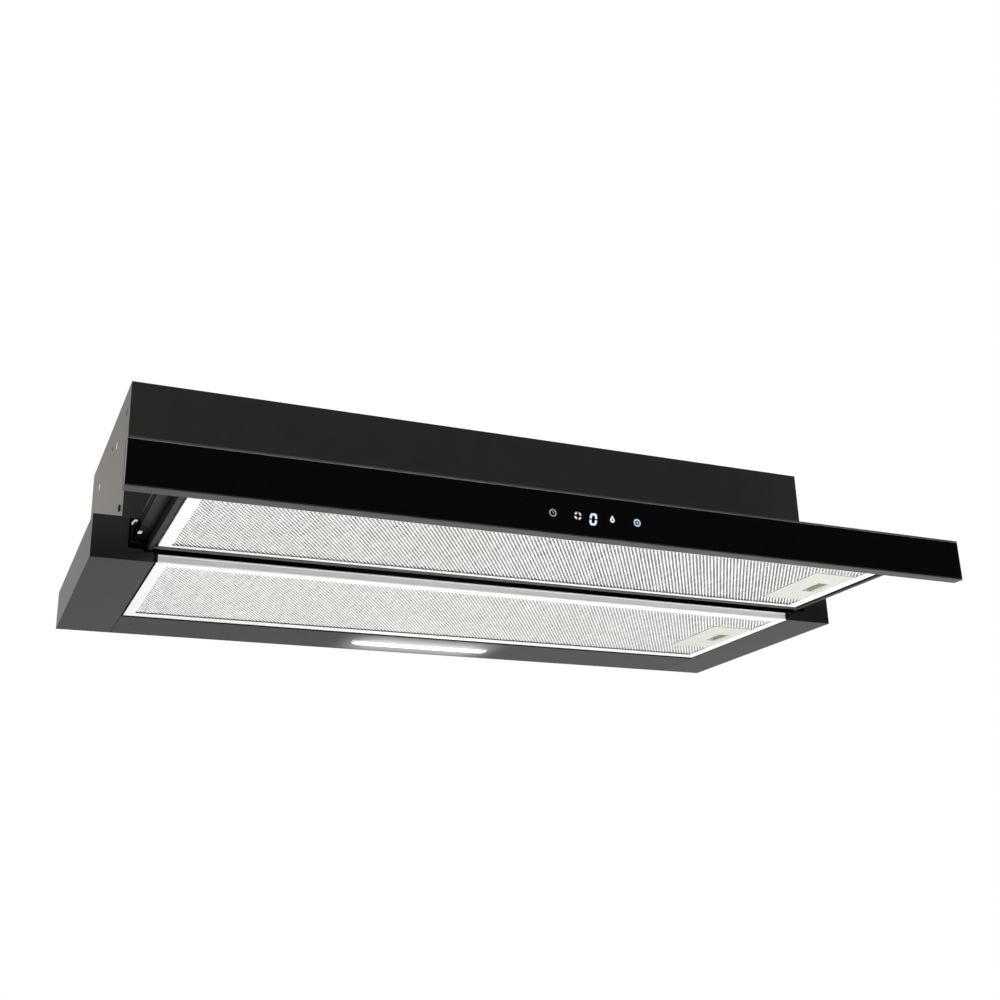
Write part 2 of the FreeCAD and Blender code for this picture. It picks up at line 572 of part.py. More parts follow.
def rails(tag, side):
    z = ("rail_z", "rail_z + rail_h")
    outer = rail_channel("outer_rail_" + tag, ("rail_x - rail_t", "rail_x"), ("rail_x - rail_w", "rail_x"),
                         ("steel", "inner_tail + travel + 2 * steel"), z, side)
    node("rail_outer_" + tag, outer)
    rise = "rail_t + race_gap"
    inner = rail_channel("inner_rail_" + tag, ("drawer_w / 2", "drawer_w / 2 + rail_t"),
                         ("drawer_w / 2", "drawer_w / 2 + inner_w"),
                         ("drawer_front + rail_front_gap", "inner_tail"),
                         ("rail_z + " + rise, "rail_z + rail_h - (%s)" % rise), side)
    node("rail_inner_" + tag, inner)
    web_x = ("rail_x - rail_t - cage_gap - cage_t", "rail_x - rail_t - cage_gap")
    flange_x = ("rail_x - rail_w + rail_t", web_x[1])
    ball_x = "rail_x - rail_w / 2 - cage_t"
    y = ("steel + cage_inset", "inner_tail + steel - cage_inset")
    rows = {"low": "rail_z + rail_t + race_gap / 2", "high": "rail_z + rail_h - rail_t - race_gap / 2"}
    pieces = [box("cage_web_" + tag, web_x, y,
                  (rows["low"] + " - cage_t / 2", rows["high"] + " + cage_t / 2"), side)]
    holes, balls = [], []
    for row, z_mid in rows.items():
        pieces.append(box("cage_%s_%s" % (row, tag), flange_x, y,
                          (z_mid + " - cage_t / 2", z_mid + " + cage_t / 2"), side))
        for number in range(int(size("ball_count"))):
            name = "%s_%s_%d" % (row, tag, number)
            ball_y = "%s + (%s - (%s)) * %d / (2 * ball_count)" % (y[0], y[1], y[0], 2 * number + 1)
            ball_at = "%d * (%s)" % (side, ball_x)
            holes.append(cylinder("cage_hole_" + name, "ball_r + running", "cage_t + 2 * overrun", ball_at,
                                  ball_y,
                                  z_mid + " - cage_t / 2 - overrun"))
            balls.append(sphere("ball_" + name, "ball_r", ball_at, ball_y, z_mid))
    node("ball_cage_" + tag, cut("cage_cut_" + tag, fuse("cage_fold_" + tag, pieces), holes))
    node("rail_balls_" + tag, group("ball_set_" + tag, balls))


def rail_brackets():
    """Spacers between the fixed rails and the tray's channel walls."""
    z = "rail_z + rail_h / 2"
    blocks = [box("bracket_" + tag, ("rail_x", "channel_w / 2"), ("bracket_y", "bracket_y + bracket_l"),
                  (z + " - bracket_h / 2", z + " + bracket_h / 2"), side) for tag, side in SIDES]
    node("rail_brackets", group("bracket_pair", blocks))


# Air outlet

def outlet():
    bore = "outlet_r - outlet_wall"
    stop_top = "flap_z - flap_t / 2 - slack"
    tube = turned("collar_body",
                  [(bore, "0"), ("outlet_r + flange_w", "0"), ("outlet_r + flange_w", "flange_t"),
                                  ("outlet_r", "flange_t"), ("outlet_r", "outlet_h"), (bore, "outlet_h"),
                                  (bore, stop_top), (bore + " - stop_w", stop_top),
                                  (bore + " - stop_w", stop_top + " - stop_t"),
                                  (bore, stop_top + " - stop_t")],
                  "0", "outlet_y", "casing_top")
    pin_z = "casing_top + flap_z"
    pin_half = "(outlet_r - outlet_wall / 2)"
    seats, pins = [], []
    for tag, side in SIDES:
        x = "%d * flap_pin_x" % side
        seats.append(drill_y("pin_seat_" + tag, "flap_pin_r", x, "outlet_y - " + pin_half,
                             "2 * " + pin_half, pin_z))
        pins.append(drill_y("pin_" + tag, "flap_pin_r", x, "outlet_y - " + pin_half, "2 * " + pin_half,
                            pin_z))
        barrel_half = "(%s - stop_w - flap_gap)" % bore
        barrel = drill_y("flap_barrel_" + tag, "flap_barrel_r", x, "outlet_y - " + barrel_half,
                         "2 * " + barrel_half, pin_z)
        disc = cylinder("flap_disc_" + tag, bore + " - flap_gap", "flap_t", "0", "outlet_y",
                        pin_z + " - flap_t / 2")
        middle = box("flap_middle_" + tag, ("-outlet_r - overrun", "flap_pin_x"),
                     ("outlet_y - outlet_r", "outlet_y + outlet_r"),
                     (pin_z + " - flap_t / 2 - overrun", pin_z + " + flap_t / 2 + overrun"), side)
        ends = []
        for end, sign in (("front", "-"), ("back", "+")):
            y = "outlet_y %s %s" % (sign, barrel_half)
            span = (y + " - outlet_r", y) if sign == "-" else (y, y + " + outlet_r")
            ends.append(box("flap_end_%s_%s" % (end, tag),
                            ("flap_pin_x - overrun", "flap_pin_x + flap_barrel_r"),
                            span, (pin_z + " - flap_t / 2 - overrun", pin_z + " + flap_t / 2 + overrun"),
                            side))
        bored = drill_y("flap_bore_" + tag, "flap_pin_r + running", x, "outlet_y - outlet_r",
                        "2 * outlet_r", pin_z)
        blade = cut("flap_half_" + tag, disc, [middle] + ends)
        node("damper_flap_" + tag, cut("flap_cut_" + tag, fuse("flap_" + tag, [blade, barrel]), [bored]))
    node("outlet_collar", cut("collar_cut", tube, seats))
    node("damper_pins", group("pin_pair", pins))


# Blower

def placed_feature(label, shape):
    """A sub-part whose shape is worked out here; its Placement follows the sheet."""
    obj = doc.addObject("Part::Feature", label + "_shape")
    obj.Shape = shape
    put(obj, "0", "0", "0")
    return node(label, obj)


casing_ceiling = size("tray_h") + size("casing_h") - size("steel")
blower_y = (size("tray_d") - size("rear_step")) / 2
blower_z = size("tray_h") + size("casing_h") - size("blower_drop")


def volute(inset):
    """Wire of the scroll in the YZ plane: a spiral of arcs under an outlet tower, moved in by inset."""
    small, large = size("scroll_r_small") - inset, size("scroll_r_large") - inset
    tower = size("tower_d") / 2 - size("scroll_t") - inset

    def on_spiral(share):
        angle = math.radians(SPIRAL_START_DEG + (SPIRAL_END_DEG - SPIRAL_START_DEG) * share)
        radius = small + (large - small) * share
        return FreeCAD.Vector(0, blower_y + radius * math.cos(angle), blower_z + radius * math.sin(angle))

    edges = []
    for arc in range(SPIRAL_ARCS):
        shares = [(arc + step) / SPIRAL_ARCS for step in (0, 0.5, 1)]
        edges.append(Part.Arc(*[on_spiral(share) for share in shares]).toShape())
    tower_tops = [FreeCAD.Vector(0, blower_y + reach, casing_ceiling) for reach in (-tower, tower)]
    corners = [on_spiral(1)] + tower_tops + [on_spiral(0)]
    for start, end in zip(corners, corners[1:]):
        edges.append(Part.makeLine(start, end))
    return Part.Wire(edges)


def prism(wire, start, length):
    face = Part.Face(wire)
    face.translate(FreeCAD.Vector(start, 0, 0))
    return face.extrude(FreeCAD.Vector(length, 0, 0))


def x_cylinder(radius, start, length):
    centre = FreeCAD.Vector(start, blower_y, blower_z)
    return Part.makeCylinder(radius, length, centre, X_AXIS)


def scroll():
    wall, plate = size("scroll_t"), size("scroll_t")
    length = size("scroll_l") - 2 * plate
    outer = prism(volute(-wall), -length / 2, length)
    placed_feature("scroll_housing", outer.cut(prism(volute(0), -length, 2 * length)))
    for tag, side in SIDES:
        start = length / 2 if side > 0 else -length / 2 - plate
        end = prism(volute(-wall), start, plate)
        rim_start = length / 2 + plate if side > 0 else -length / 2 - 3 * plate
        rim = x_cylinder(size("inlet_r") + plate, rim_start, 2 * plate)
        inlet = x_cylinder(size("inlet_r"), -length, 2 * length)
        placed_feature("scroll_end_" + tag, end.fuse(rim).cut(inlet).removeSplitter())


def blower():
    motor_l, slack = size("motor_l"), size("running")
    barrel = x_cylinder(size("motor_r"), -motor_l / 2, motor_l)
    through = x_cylinder(size("shaft_r") + slack, -motor_l, 2 * motor_l)
    placed_feature("motor_body", barrel.cut(through))
    thick = size("bracket_t")
    partition = prism(volute(size("slack")), -thick / 2, thick)
    placed_feature("motor_bracket", partition.cut(x_cylinder(size("motor_r"), -motor_l, 2 * motor_l)))
    inner = motor_l / 2 + size("motor_gap")
    reach = inner + size("hub_l")
    placed_feature("motor_shaft", x_cylinder(size("shaft_r"), -reach, 2 * reach))
    for tag, side in SIDES:
        placed_feature("impeller_" + tag, impeller(side, inner))


def impeller(side, inner):
    """Drum impeller: hub plate beside the motor, forward-leaning blades and an end ring."""
    radius = size("impeller_r")
    length = size("scroll_l") / 2 - size("scroll_t") - size("impeller_gap") - inner
    plate, blade_w, blade_t = size("impeller_plate"), size("blade_w"), size("blade_t")

    def span(start, extent):
        return start if side > 0 else -start - extent

    pieces = [x_cylinder(size("hub_r"), span(inner, size("hub_l")), size("hub_l"))]
    ring_at = inner + length - plate
    ring = x_cylinder(radius, span(ring_at, plate), plate)
    pieces.append(ring.cut(x_cylinder(radius - blade_w, -2 * ring_at, 4 * ring_at)))
    blade_l = length - plate
    middle = radius - blade_w / 2
    for number in range(BLADE_COUNT):
        blade = Part.makeBox(blade_l, blade_w * math.cos(math.radians(size("blade_tilt"))), blade_t)
        blade.translate(FreeCAD.Vector(span(inner, blade_l), -blade_w / 2, -blade_t / 2))
        blade.rotate(FreeCAD.Vector(), X_AXIS, size("blade_tilt"))
        blade.translate(FreeCAD.Vector(0, middle, 0))
        blade.rotate(FreeCAD.Vector(), X_AXIS, 360 / BLADE_COUNT * number)
        blade.translate(FreeCAD.Vector(0, blower_y, blower_z))
        pieces.append(blade)
    disc = x_cylinder(radius, span(inner, plate), plate)
    drum = disc.multiFuse(pieces)
    bore = x_cylinder(size("shaft_r"), -2 * ring_at, 4 * ring_at)
    return drum.cut(bore).removeSplitter()


# Electrics

def electrics():
    ceiling = "casing_top - steel"
    x = ("control_x", "control_x + control_w")
    y = ("control_y", "control_y + control_d")
    z = (ceiling + " - control_h", ceiling)
    shell = box("control_shell", x, y, z)
    room = box("control_room", (x[0] + " + control_t", x[1] + " - control_t"),
               (y[0] + " + control_t", y[1] + " - control_t"),
               (z[0] + " - overrun", z[1] + " - control_t"))
    node("control_box", cut("control_cut", shell, [room]))
    node("control_box_lid", box("lid", x, y, (z[0] + " - control_t", z[0])))
    node("capacitor", cylinder("capacitor_can", "capacitor_r", "capacitor_l", "-capacitor_x", "outlet_y",
                               ceiling + " - capacitor_r - slack", ALONG_Y))
    face = "casing_d"
    rim = cylinder("gland_flange", "gland_r + gland_rim", "gland_rim_t", "gland_x", face, "gland_z", ALONG_Y)
    neck = cylinder("gland_neck", "gland_r - running", "gland_l", "gland_x", face + " - gland_l", "gland_z",
                    ALONG_Y)
    bore = cylinder("gland_bore", "cord_r", "gland_l + gland_rim_t + 2 * overrun", "gland_x",
                    face + " - gland_l - overrun", "gland_z", ALONG_Y)
    node("cable_gland", cut("gland_cut", fuse("gland", [rim, neck]), [bore]))


casing_front_panel()
casing_rear_panel()
casing_top_panel()
casing_screws()
tray_rear_strip()
tray_rear_wall()
for tag, side in SIDES:
    casing_side(tag, side)
    tray_side(tag, side)
    rails(tag, side)
rail_brackets()
lamp()
filter_set("fixed", "fixed_filter_w", "fixed_filter_d", "slack", "0", "filter_border")
filter_set("drawer", "drawer_filter_w", "drawer_filter_d", "-filter_gap - drawer_filter_d",
           "drawer_z + steel + filter_lift", "narrow_border")
drawer()
glass_front()
touch_control()
outlet()
scroll()
blower()
electrics()
doc.recompute()

failed = [obj.Name for obj in doc.Objects if "Invalid" in obj.State or "Error" in obj.State]
if failed:
    raise ValueError("failed features: " + ", ".join(failed))
for obj in nodes:
    if obj.Shape.isNull() or not obj.Shape.isValid() or not obj.Shape.Solids:
        raise ValueError(obj.Label + " has no valid solid")

os.makedirs("parts", exist_ok=True)
for obj in nodes:
    obj.Shape.exportStep("parts/%s.step" % obj.Label)
print(len(nodes), "sub-parts")
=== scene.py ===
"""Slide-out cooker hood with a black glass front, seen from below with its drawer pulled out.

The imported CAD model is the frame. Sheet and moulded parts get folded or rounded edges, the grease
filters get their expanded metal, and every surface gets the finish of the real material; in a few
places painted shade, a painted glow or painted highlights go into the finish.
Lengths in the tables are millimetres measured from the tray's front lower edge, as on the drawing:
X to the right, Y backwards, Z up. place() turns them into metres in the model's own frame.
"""
import json
import math

import bmesh
import bpy
import numpy as np
from mathutils import Matrix, Vector

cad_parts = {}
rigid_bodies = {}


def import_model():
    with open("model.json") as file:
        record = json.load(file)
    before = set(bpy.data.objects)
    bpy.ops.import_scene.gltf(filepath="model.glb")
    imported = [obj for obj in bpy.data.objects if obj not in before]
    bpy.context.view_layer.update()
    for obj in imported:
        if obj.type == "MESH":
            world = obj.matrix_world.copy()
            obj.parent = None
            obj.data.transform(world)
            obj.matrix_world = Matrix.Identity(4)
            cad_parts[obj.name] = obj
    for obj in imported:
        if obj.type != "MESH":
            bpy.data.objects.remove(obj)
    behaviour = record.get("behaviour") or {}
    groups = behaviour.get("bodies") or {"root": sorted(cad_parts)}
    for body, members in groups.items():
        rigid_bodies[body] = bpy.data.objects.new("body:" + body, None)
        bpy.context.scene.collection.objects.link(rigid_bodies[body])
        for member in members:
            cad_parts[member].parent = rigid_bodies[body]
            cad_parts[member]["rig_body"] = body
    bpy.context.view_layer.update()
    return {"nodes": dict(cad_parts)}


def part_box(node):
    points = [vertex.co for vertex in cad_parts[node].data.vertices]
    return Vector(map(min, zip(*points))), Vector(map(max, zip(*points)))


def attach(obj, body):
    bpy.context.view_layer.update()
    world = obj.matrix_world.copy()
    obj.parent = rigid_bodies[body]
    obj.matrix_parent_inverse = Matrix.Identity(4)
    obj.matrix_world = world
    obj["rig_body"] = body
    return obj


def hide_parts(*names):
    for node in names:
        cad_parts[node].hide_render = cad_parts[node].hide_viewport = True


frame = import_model()
nodes = frame["nodes"]
MM = 0.001
ORIGIN = np.array([0.0, 132.5, 173.0])    # the model's origin on the drawing, under the air outlet
CASING_SIDE, CASING_BACK, CASING_TOP = 373, 265, 173    # outer faces of the upper casing
DRAWER_SIDE, FILTER_SIDE = 350, 341.5    # side faces of the drawer and of the fixed filter
FOLD = 0.4    # radius that a fold in the sheets shows


def place(points):
    """Drawing millimetres to metres in the model's frame."""
    return (np.asarray(points, float) - ORIGIN) * MM


def extent(node):
    """Lowest and highest corner of a CAD node in drawing millimetres."""
    low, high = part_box(node)
    return np.array(low) / MM + ORIGIN, np.array(high) / MM + ORIGIN


# Materials

CLOUD = 0.04    # fineness of a colour's clouds, beside that of the grain over them


def linear(code):
    """An sRGB hex colour as linear RGBA."""
    channels = [int(code[i:i + 2], 16) / 255 for i in (1, 3, 5)]
    return [c / 12.92 if c <= 0.04045 else ((c + 0.055) / 1.055) ** 2.4 for c in channels] + [1]


def add(tree, kind, links=(), **settings):
    """A node with its settings; links are pairs of one of its inputs and another node's output.

    A setting is one of the node's attributes or else one of its inputs. In a link, an input is
    given by its name, or by its number where several have the same name."""
    node = tree.nodes.new(kind)
    for key, value in settings.items():
        if hasattr(node, key):
            setattr(node, key, value)
        else:
            node.inputs[key.replace("_", " ")].default_value = value
    for name, output in links:
        if isinstance(name, str):
            name = next(number for number, socket in enumerate(node.inputs)
                        if socket.enabled and socket.name == name)
        tree.links.new(output, node.inputs[name])
    return node


def finish(name, colour, shade, rough, grain, bump, stretch=(1, 1, 1), detail=2.0, **socket):
    """A material whose colour wanders from colour to shade and whose roughness spans the pair
    rough, over a noise with grains of the given millimetres; bump is the height of the grain in
    millimetres, and stretch scales the pattern along each axis. The rest are shader sockets."""
    material = bpy.data.materials.new(name)
    material.use_nodes = True
    tree = material.node_tree
    shader = tree.nodes["Principled BSDF"]
    for key, value in socket.items():
        shader.inputs[key.replace("_", " ")].default_value = value
    where = add(tree, "ShaderNodeTexCoord")
    mapping = add(tree, "ShaderNodeMapping", [("Vector", where.outputs["Object"])])
    mapping.inputs["Scale"].default_value = stretch
    noise = add(tree, "ShaderNodeTexNoise", [("Vector", mapping.outputs[0])],
                Scale=1 / (grain * MM), Detail=detail)
    cloud = add(tree, "ShaderNodeTexNoise", [("Vector", mapping.outputs[0])],
                Scale=CLOUD / (grain * MM), Detail=1.0)
    tint = add(tree, "ShaderNodeMix", [("Factor", cloud.outputs["Fac"])], data_type="RGBA")
    tint.inputs["A"].default_value = linear(colour)
    tint.inputs["B"].default_value = linear(shade)
    gloss = add(tree, "ShaderNodeMapRange", [("Value", noise.outputs["Fac"])],
                To_Min=rough[0], To_Max=rough[1])
    relief = add(tree, "ShaderNodeBump", [("Height", noise.outputs["Fac"])], Distance=bump * MM)
    tree.links.new(tint.outputs["Result"], shader.inputs["Base Color"])
    tree.links.new(gloss.outputs[0], shader.inputs["Roughness"])
    tree.links.new(relief.outputs[0], shader.inputs["Normal"])
    return material


def glowing(name, colour, shade, strength, grain=1):
    """A lit print: its light wanders from colour to shade over grains of the given millimetres."""
    material = finish(name, colour, shade, (0.25, 0.35), grain, 0.01)
    shader = material.node_tree.nodes["Principled BSDF"]
    source = shader.inputs["Base Color"].links[0].from_socket
    material.node_tree.links.new(source, shader.inputs["Emission Color"])
    shader.inputs["Emission Strength"].default_value = strength
    return material


def focus(material, centre, core, rim, strength):
    """Makes a material glow round a centre, as a lamp's own light or as a painted glow: the glow is
    strength s(|x|) s(|y|), where s falls smoothly from 1 at the half size core to 0 at the half
    size rim."""
    tree = material.node_tree
    shader = tree.nodes["Principled BSDF"]
    where = add(tree, "ShaderNodeTexCoord")
    offset = add(tree, "ShaderNodeVectorMath", [(0, where.outputs["Object"])],
                 operation="SUBTRACT")
    offset.inputs[1].default_value = place(centre)
    far = add(tree, "ShaderNodeVectorMath", [(0, offset.outputs[0])], operation="ABSOLUTE")
    split = add(tree, "ShaderNodeSeparateXYZ", [("Vector", far.outputs[0])])
    falls = [add(tree, "ShaderNodeMapRange", [("Value", split.outputs[axis])],
                 interpolation_type="SMOOTHSTEP",
                 From_Min=inside * MM, From_Max=outside * MM, To_Min=1, To_Max=0)
             for axis, inside, outside in zip("XY", core, rim)]
    both = add(tree, "ShaderNodeMath", [(0, falls[0].outputs[0]), (1, falls[1].outputs[0])],
               operation="MULTIPLY")
    light = add(tree, "ShaderNodeMix", [("Factor", both.outputs[0])], data_type="RGBA")
    light.inputs["A"].default_value = (0, 0, 0, 1)
    light.inputs["B"].default_value = (1, 1, 1, 1)
    tree.links.new(light.outputs["Result"], shader.inputs["Emission Color"])
    shader.inputs["Emission Strength"].default_value = strength


# Satin polyester powder on folded steel: fine orange peel, sheen that widens at a grazing angle
POWDER_COAT = ("#1e1e1d", "#222120", (0.36, 0.48), 0.7, 0.012)
POWDER = finish("black_powder_coat", *POWDER_COAT,
                Specular_IOR_Level=0.45, Specular_Tint=(1.0, 0.975, 0.94, 1.0))
# The same powder coat on the strip that carries the lamp, with the lamp's spill painted on it as a
# glow
SPILL_PAINTED_GLOW = finish("black_powder_coat_painted_lamp_glow", *POWDER_COAT, Specular_IOR_Level=0.34)
focus(SPILL_PAINTED_GLOW, centre=(0, 240, 0), core=(45, 20), rim=(106, 50), strength=0.3)
# Stoved black on zinc-coated sheet: the casing's walls, with a warm grey sheen when grazed
PANEL = finish("black_stoved_sheet", "#343332", "#383736", (0.3, 0.42), 0.7, 0.012,
               Metallic=0.5, Specular_Tint=(1.0, 0.93, 0.86, 1.0))
# Back-painted toughened glass: deep black under a mirror-smooth face
GLASS = finish("black_toughened_glass", "#040405", "#050506", (0.015, 0.03), 30, 0.001,
               Specular_IOR_Level=0.35)
# Extruded aluminium with a grey satin anodised skin: faint die lines along its length
ALONG_X, ALONG_Y = (0.05, 1, 1), (1, 0.05, 1)    # a grain drawn out twenty times into lines
ANODISED = finish("grey_anodised_aluminium", "#4e4d4a", "#575551", (0.35, 0.5), 0.5, 0.01,
                  ALONG_X, Metallic=0.55)
# The same finish, paler, on the bar behind the drawer's filter
PALE_ANODISED = finish("pale_anodised_aluminium", "#52514f", "#494846", (0.35, 0.5), 0.5, 0.01,
                       ALONG_X, Metallic=0.4)
# Ground upper edge of the glass: a frosted grey line
GROUND = finish("ground_glass_edge", "#8b8d8c", "#7f8180", (0.5, 0.65), 0.6, 0.02)
# White stove lacquer on aluminium frames: clean, slightly uneven gloss
LACQUER = finish("white_stove_lacquer", "#f1f1ef", "#ebebe8", (0.3, 0.45), 1.2, 0.01)
# Rolled aluminium foil, slit and stretched: bright matt strands
STRAND = finish("expanded_aluminium", "#fafaf8", "#f0f0ee", (0.35, 0.6), 0.8, 0.02)
# Crimped aluminium packing behind the mesh: glints over a colour painted dark, painted shade inside
# the filter, and darker still in the drawer's filter, as deeper painted shade
PACKINGS_PAINTED_SHADE = {
    "fixed": finish("crimped_foil_packing_painted_shade", "#4a4a49", "#363635", (0.3, 0.7), 2.2, 0.3),
    "drawer": finish("foil_packing_painted_deep_shade", "#202020", "#161616", (0.3, 0.7), 2.2, 0.3)}
# Moulded ABS, cream, with a fine spark-eroded texture
CREAM = finish("cream_abs", "#cacac3", "#c3c3bc", (0.4, 0.55), 0.4, 0.01)
# Moulded acetal of the latches: waxy and slightly yellow
ACETAL = finish("ivory_acetal", "#b5b4a6", "#acaa9a", (0.3, 0.4), 0.9, 0.006)
# Nickel-plated spring steel and rivets: near-white with little metal, a painted highlight on the
# spring, rivets and eyelets, with a soft highlight of their own
NICKEL_PAINTED_HIGHLIGHT = finish("nickel_plated_steel_painted_highlight", "#f4f3f0", "#e6e5e1", (0.25, 0.36), 0.6, 0.004,
                Metallic=0.15)
# Zinc-plated steel pins and spacers: cold grey, drawn lines along Y
ZINC = finish("zinc_plated_steel", "#8b8d8f", "#7c7e80", (0.28, 0.42), 0.7, 0.008,
              ALONG_Y, Metallic=1.0)
# Black-galvanised steel strip of the rails: an oily dark sheen along its length
RAIL = finish("black_galvanised_strip", "#161617", "#111112", (0.3, 0.42), 0.7, 0.008,
              ALONG_Y, Metallic=0.3)
# Hardened and polished bearing steel
BEARING = finish("polished_bearing_steel", "#b9babb", "#a8a9aa", (0.08, 0.14), 0.5, 0.001,
                 Metallic=1.0)
# Black moulded ABS: fine texture, a little lighter than the paint; also painted shade on the filter
# frames' tabs and rear channels
BLACK_ABS_AND_PAINTED_SHADE = finish("black_abs_and_painted_shade", "#1b1b1b", "#202020", (0.42, 0.58), 0.5, 0.02)
# Galvanised motor and fan metalwork: spangled zinc
GALVANISED = finish("galvanised_steel", "#9a9c9d", "#85878a", (0.32, 0.55), 6, 0.01,
                    Metallic=1.0, detail=0.5)
# Glass-fibre board under green solder mask
BOARD = finish("green_solder_mask", "#1d4d33", "#19452d", (0.25, 0.4), 1.5, 0.01)
# White reflective board round the lamp's light sources
WHITE_BOARD = finish("white_solder_mask", "#eeeeea", "#e4e4e0", (0.3, 0.4), 1.5, 0.01)
# Grey polypropylene of the drum fans
POLYPROPYLENE = finish("grey_polypropylene", "#55585b", "#4b4e51", (0.4, 0.55), 0.9, 0.015)
# Drawn aluminium can: fine lines along Y, the way it was drawn
CAN = finish("drawn_aluminium_can", "#b4b6b8", "#a5a7a9", (0.25, 0.4), 0.8, 0.01,
             (1, 0.06, 1), Metallic=1.0)
# Black felt, painted shade: on the drawer's outer sides, in the rails' inserts and in the seal
# round the fixed filter
FELT_PAINTED_SHADE = finish("black_felt_painted_shade", "#0b0b0b", "#101010", (0.9, 1.0), 0.5, 0.05,
              Specular_IOR_Level=0.2)
# Black rubber: matt, faintly chalky
RUBBER = finish("black_rubber", "#191919", "#222222", (0.7, 0.9), 0.6, 0.03)
# Zinc-plated and black-passivated screws
SCREW = finish("black_passivated_screw", "#3b3a39", "#2e2d2c", (0.25, 0.4), 0.5, 0.01,
               Metallic=0.8)
# Silvered polyester film of the rating plate, with grey print
FILM = finish("silvered_film", "#b4b6b7", "#a9abac", (0.3, 0.42), 1.0, 0.004, Metallic=0.6)
PRINT = finish("grey_print", "#4c4e50", "#454749", (0.5, 0.6), 0.5, 0.004)
# Frosted polycarbonate over the light sources: brightest along its middle, dim at its rim
DIFFUSER = finish("frosted_polycarbonate", "#2c2d2e", "#27292a", (0.3, 0.4), 4, 0.01)
focus(DIFFUSER, centre=(0, 236.3, 1.5), core=(73, 1.2), rim=(88, 9), strength=1.9)
# Printed symbols lit from behind, each in the tone of its lamp
DIM_LIGHT = glowing("dim_white_symbol", "#797974", "#71716c", 0.3)
WHITE_LIGHT = glowing("white_symbol", "#b5b5b1", "#ababa7", 0.3)
LILAC_LIGHT = glowing("lilac_digit", "#b8b8d2", "#afafcc", 0.35)
BLUE_LIGHT = glowing("pale_blue_symbol", "#98a6b9", "#8f9db1", 0.3)


# Pieces

def dress(name, mesh, material, body, replaced=()):
    """A piece from a finished mesh: its material, its body and the CAD nodes that it
    stands for."""
    piece = bpy.data.objects.new(name, mesh)
    bpy.context.scene.collection.objects.link(piece)
    mesh.materials.clear()
    mesh.materials.append(material)
    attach(piece, body)
    if replaced:
        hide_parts(*replaced)
    return piece


def make(name, points, faces, material, body, slot, replaced=(), sharp=35):
    """A piece from drawing points and faces: points in the same place are merged, faces point
    outwards, and edges over sharp degrees stay crisp."""
    mesh = bpy.data.meshes.new(name)
    mesh.from_pydata(place(points).tolist(), [], [list(map(int, face)) for face in faces])
    shape = bmesh.new()
    shape.from_mesh(mesh)
    bmesh.ops.remove_doubles(shape, verts=shape.verts, dist=1e-7)
    bmesh.ops.recalc_face_normals(shape, faces=shape.faces)
    shape.to_mesh(mesh)
    shape.free()
    mesh.shade_smooth()
    mesh.set_sharp_from_angle(angle=math.radians(sharp))
    return dress(name, mesh, material, body, replaced)


def rounded(node, material, radius, steps=3):
    """A merged copy of a CAD node, whose edges over 40 degrees are rounded off, in its place."""
    mesh = nodes[node].data.copy()
    shape = bmesh.new()
    shape.from_mesh(mesh)
    bmesh.ops.remove_doubles(shape, verts=shape.verts, dist=1e-6)
    bmesh.ops.dissolve_limit(shape, angle_limit=math.radians(1),
                             verts=shape.verts, edges=shape.edges)
    for face in shape.faces:
        face.smooth = False
    sharp = [edge for edge in shape.edges if edge.calc_face_angle(0) > math.radians(40)]
    made = bmesh.ops.bevel(shape, geom=sharp, offset=radius * MM, offset_type="OFFSET",
                           segments=steps, profile=0.5, affect="EDGES", clamp_overlap=False)
    for face in made["faces"]:
        face.smooth = True
    shape.to_mesh(mesh)
    shape.free()
    return dress(node + "_rounded", mesh, material, nodes[node]["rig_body"], [node])


def recolour(piece, material, chosen):
    """Gives a second material to the faces whose centre, in drawing millimetres, is chosen."""
    piece.data.materials.append(material)
    for face in piece.data.polygons:
        if chosen(np.array(face.center) / MM + ORIGIN):
            face.material_index = len(piece.data.materials) - 1


def grid(rows, columns, close_rows=False, close_columns=False):
    """Quads of a grid of points numbered row by row; either direction may close on itself."""
    i, j = np.meshgrid(np.arange(rows - (not close_rows)),
                       np.arange(columns - (not close_columns)), indexing="ij")
    i, j = i.ravel(), j.ravel()
    ahead, beside = (i + 1) % rows, (j + 1) % columns
    return np.stack([i * columns + j, ahead * columns + j,
                     ahead * columns + beside, i * columns + beside], 1)


def loft(rings):
    """A closed body through rings of equally many points, capped at both ends."""
    rings = np.asarray(rings, float)
    count, size = rings.shape[:2]
    first = np.arange(size)
    last = first + (count - 1) * size
    walls = grid(count, size, close_columns=True).tolist()
    return rings.reshape(-1, 3), walls + [list(first), list(last[::-1])]


def joined(bodies):
    """One list of points and faces out of several."""
    points, faces, count = [], [], 0
    for body_points, body_faces in bodies:
        points.append(body_points)
        faces.extend([[int(number) + count for number in face] for face in body_faces])
        count += len(body_points)
    return np.concatenate(points), faces


def circle(around):
    """Angles of a full turn in equal steps."""
    return 2 * np.pi * np.arange(around) / around


# For a body round an axis: the directions u and v across it, and w along it
AXES = {"x": ((0, 1, 0), (0, 0, 1), (1, 0, 0)), "y": ((0, 0, 1), (1, 0, 0), (0, 1, 0)),
        "z": ((1, 0, 0), (0, 1, 0), (0, 0, 1))}


def turned(at, axis, profile, way=1, around=48):
    """A body of revolution: profile holds pairs (radius, height along the axis from the point at).

    Point (i, j) = at + r_i (cos a_j u + sin a_j v) + way h_i w, with a_j = 2 pi j / around."""
    u, v, w = np.array(AXES[axis], float)
    angle = circle(around)
    radius, height = np.array(profile, float).T
    across = np.cos(angle)[:, None] * u + np.sin(angle)[:, None] * v
    return loft(np.array(at) + radius[:, None, None] * across + way * height[:, None, None] * w)


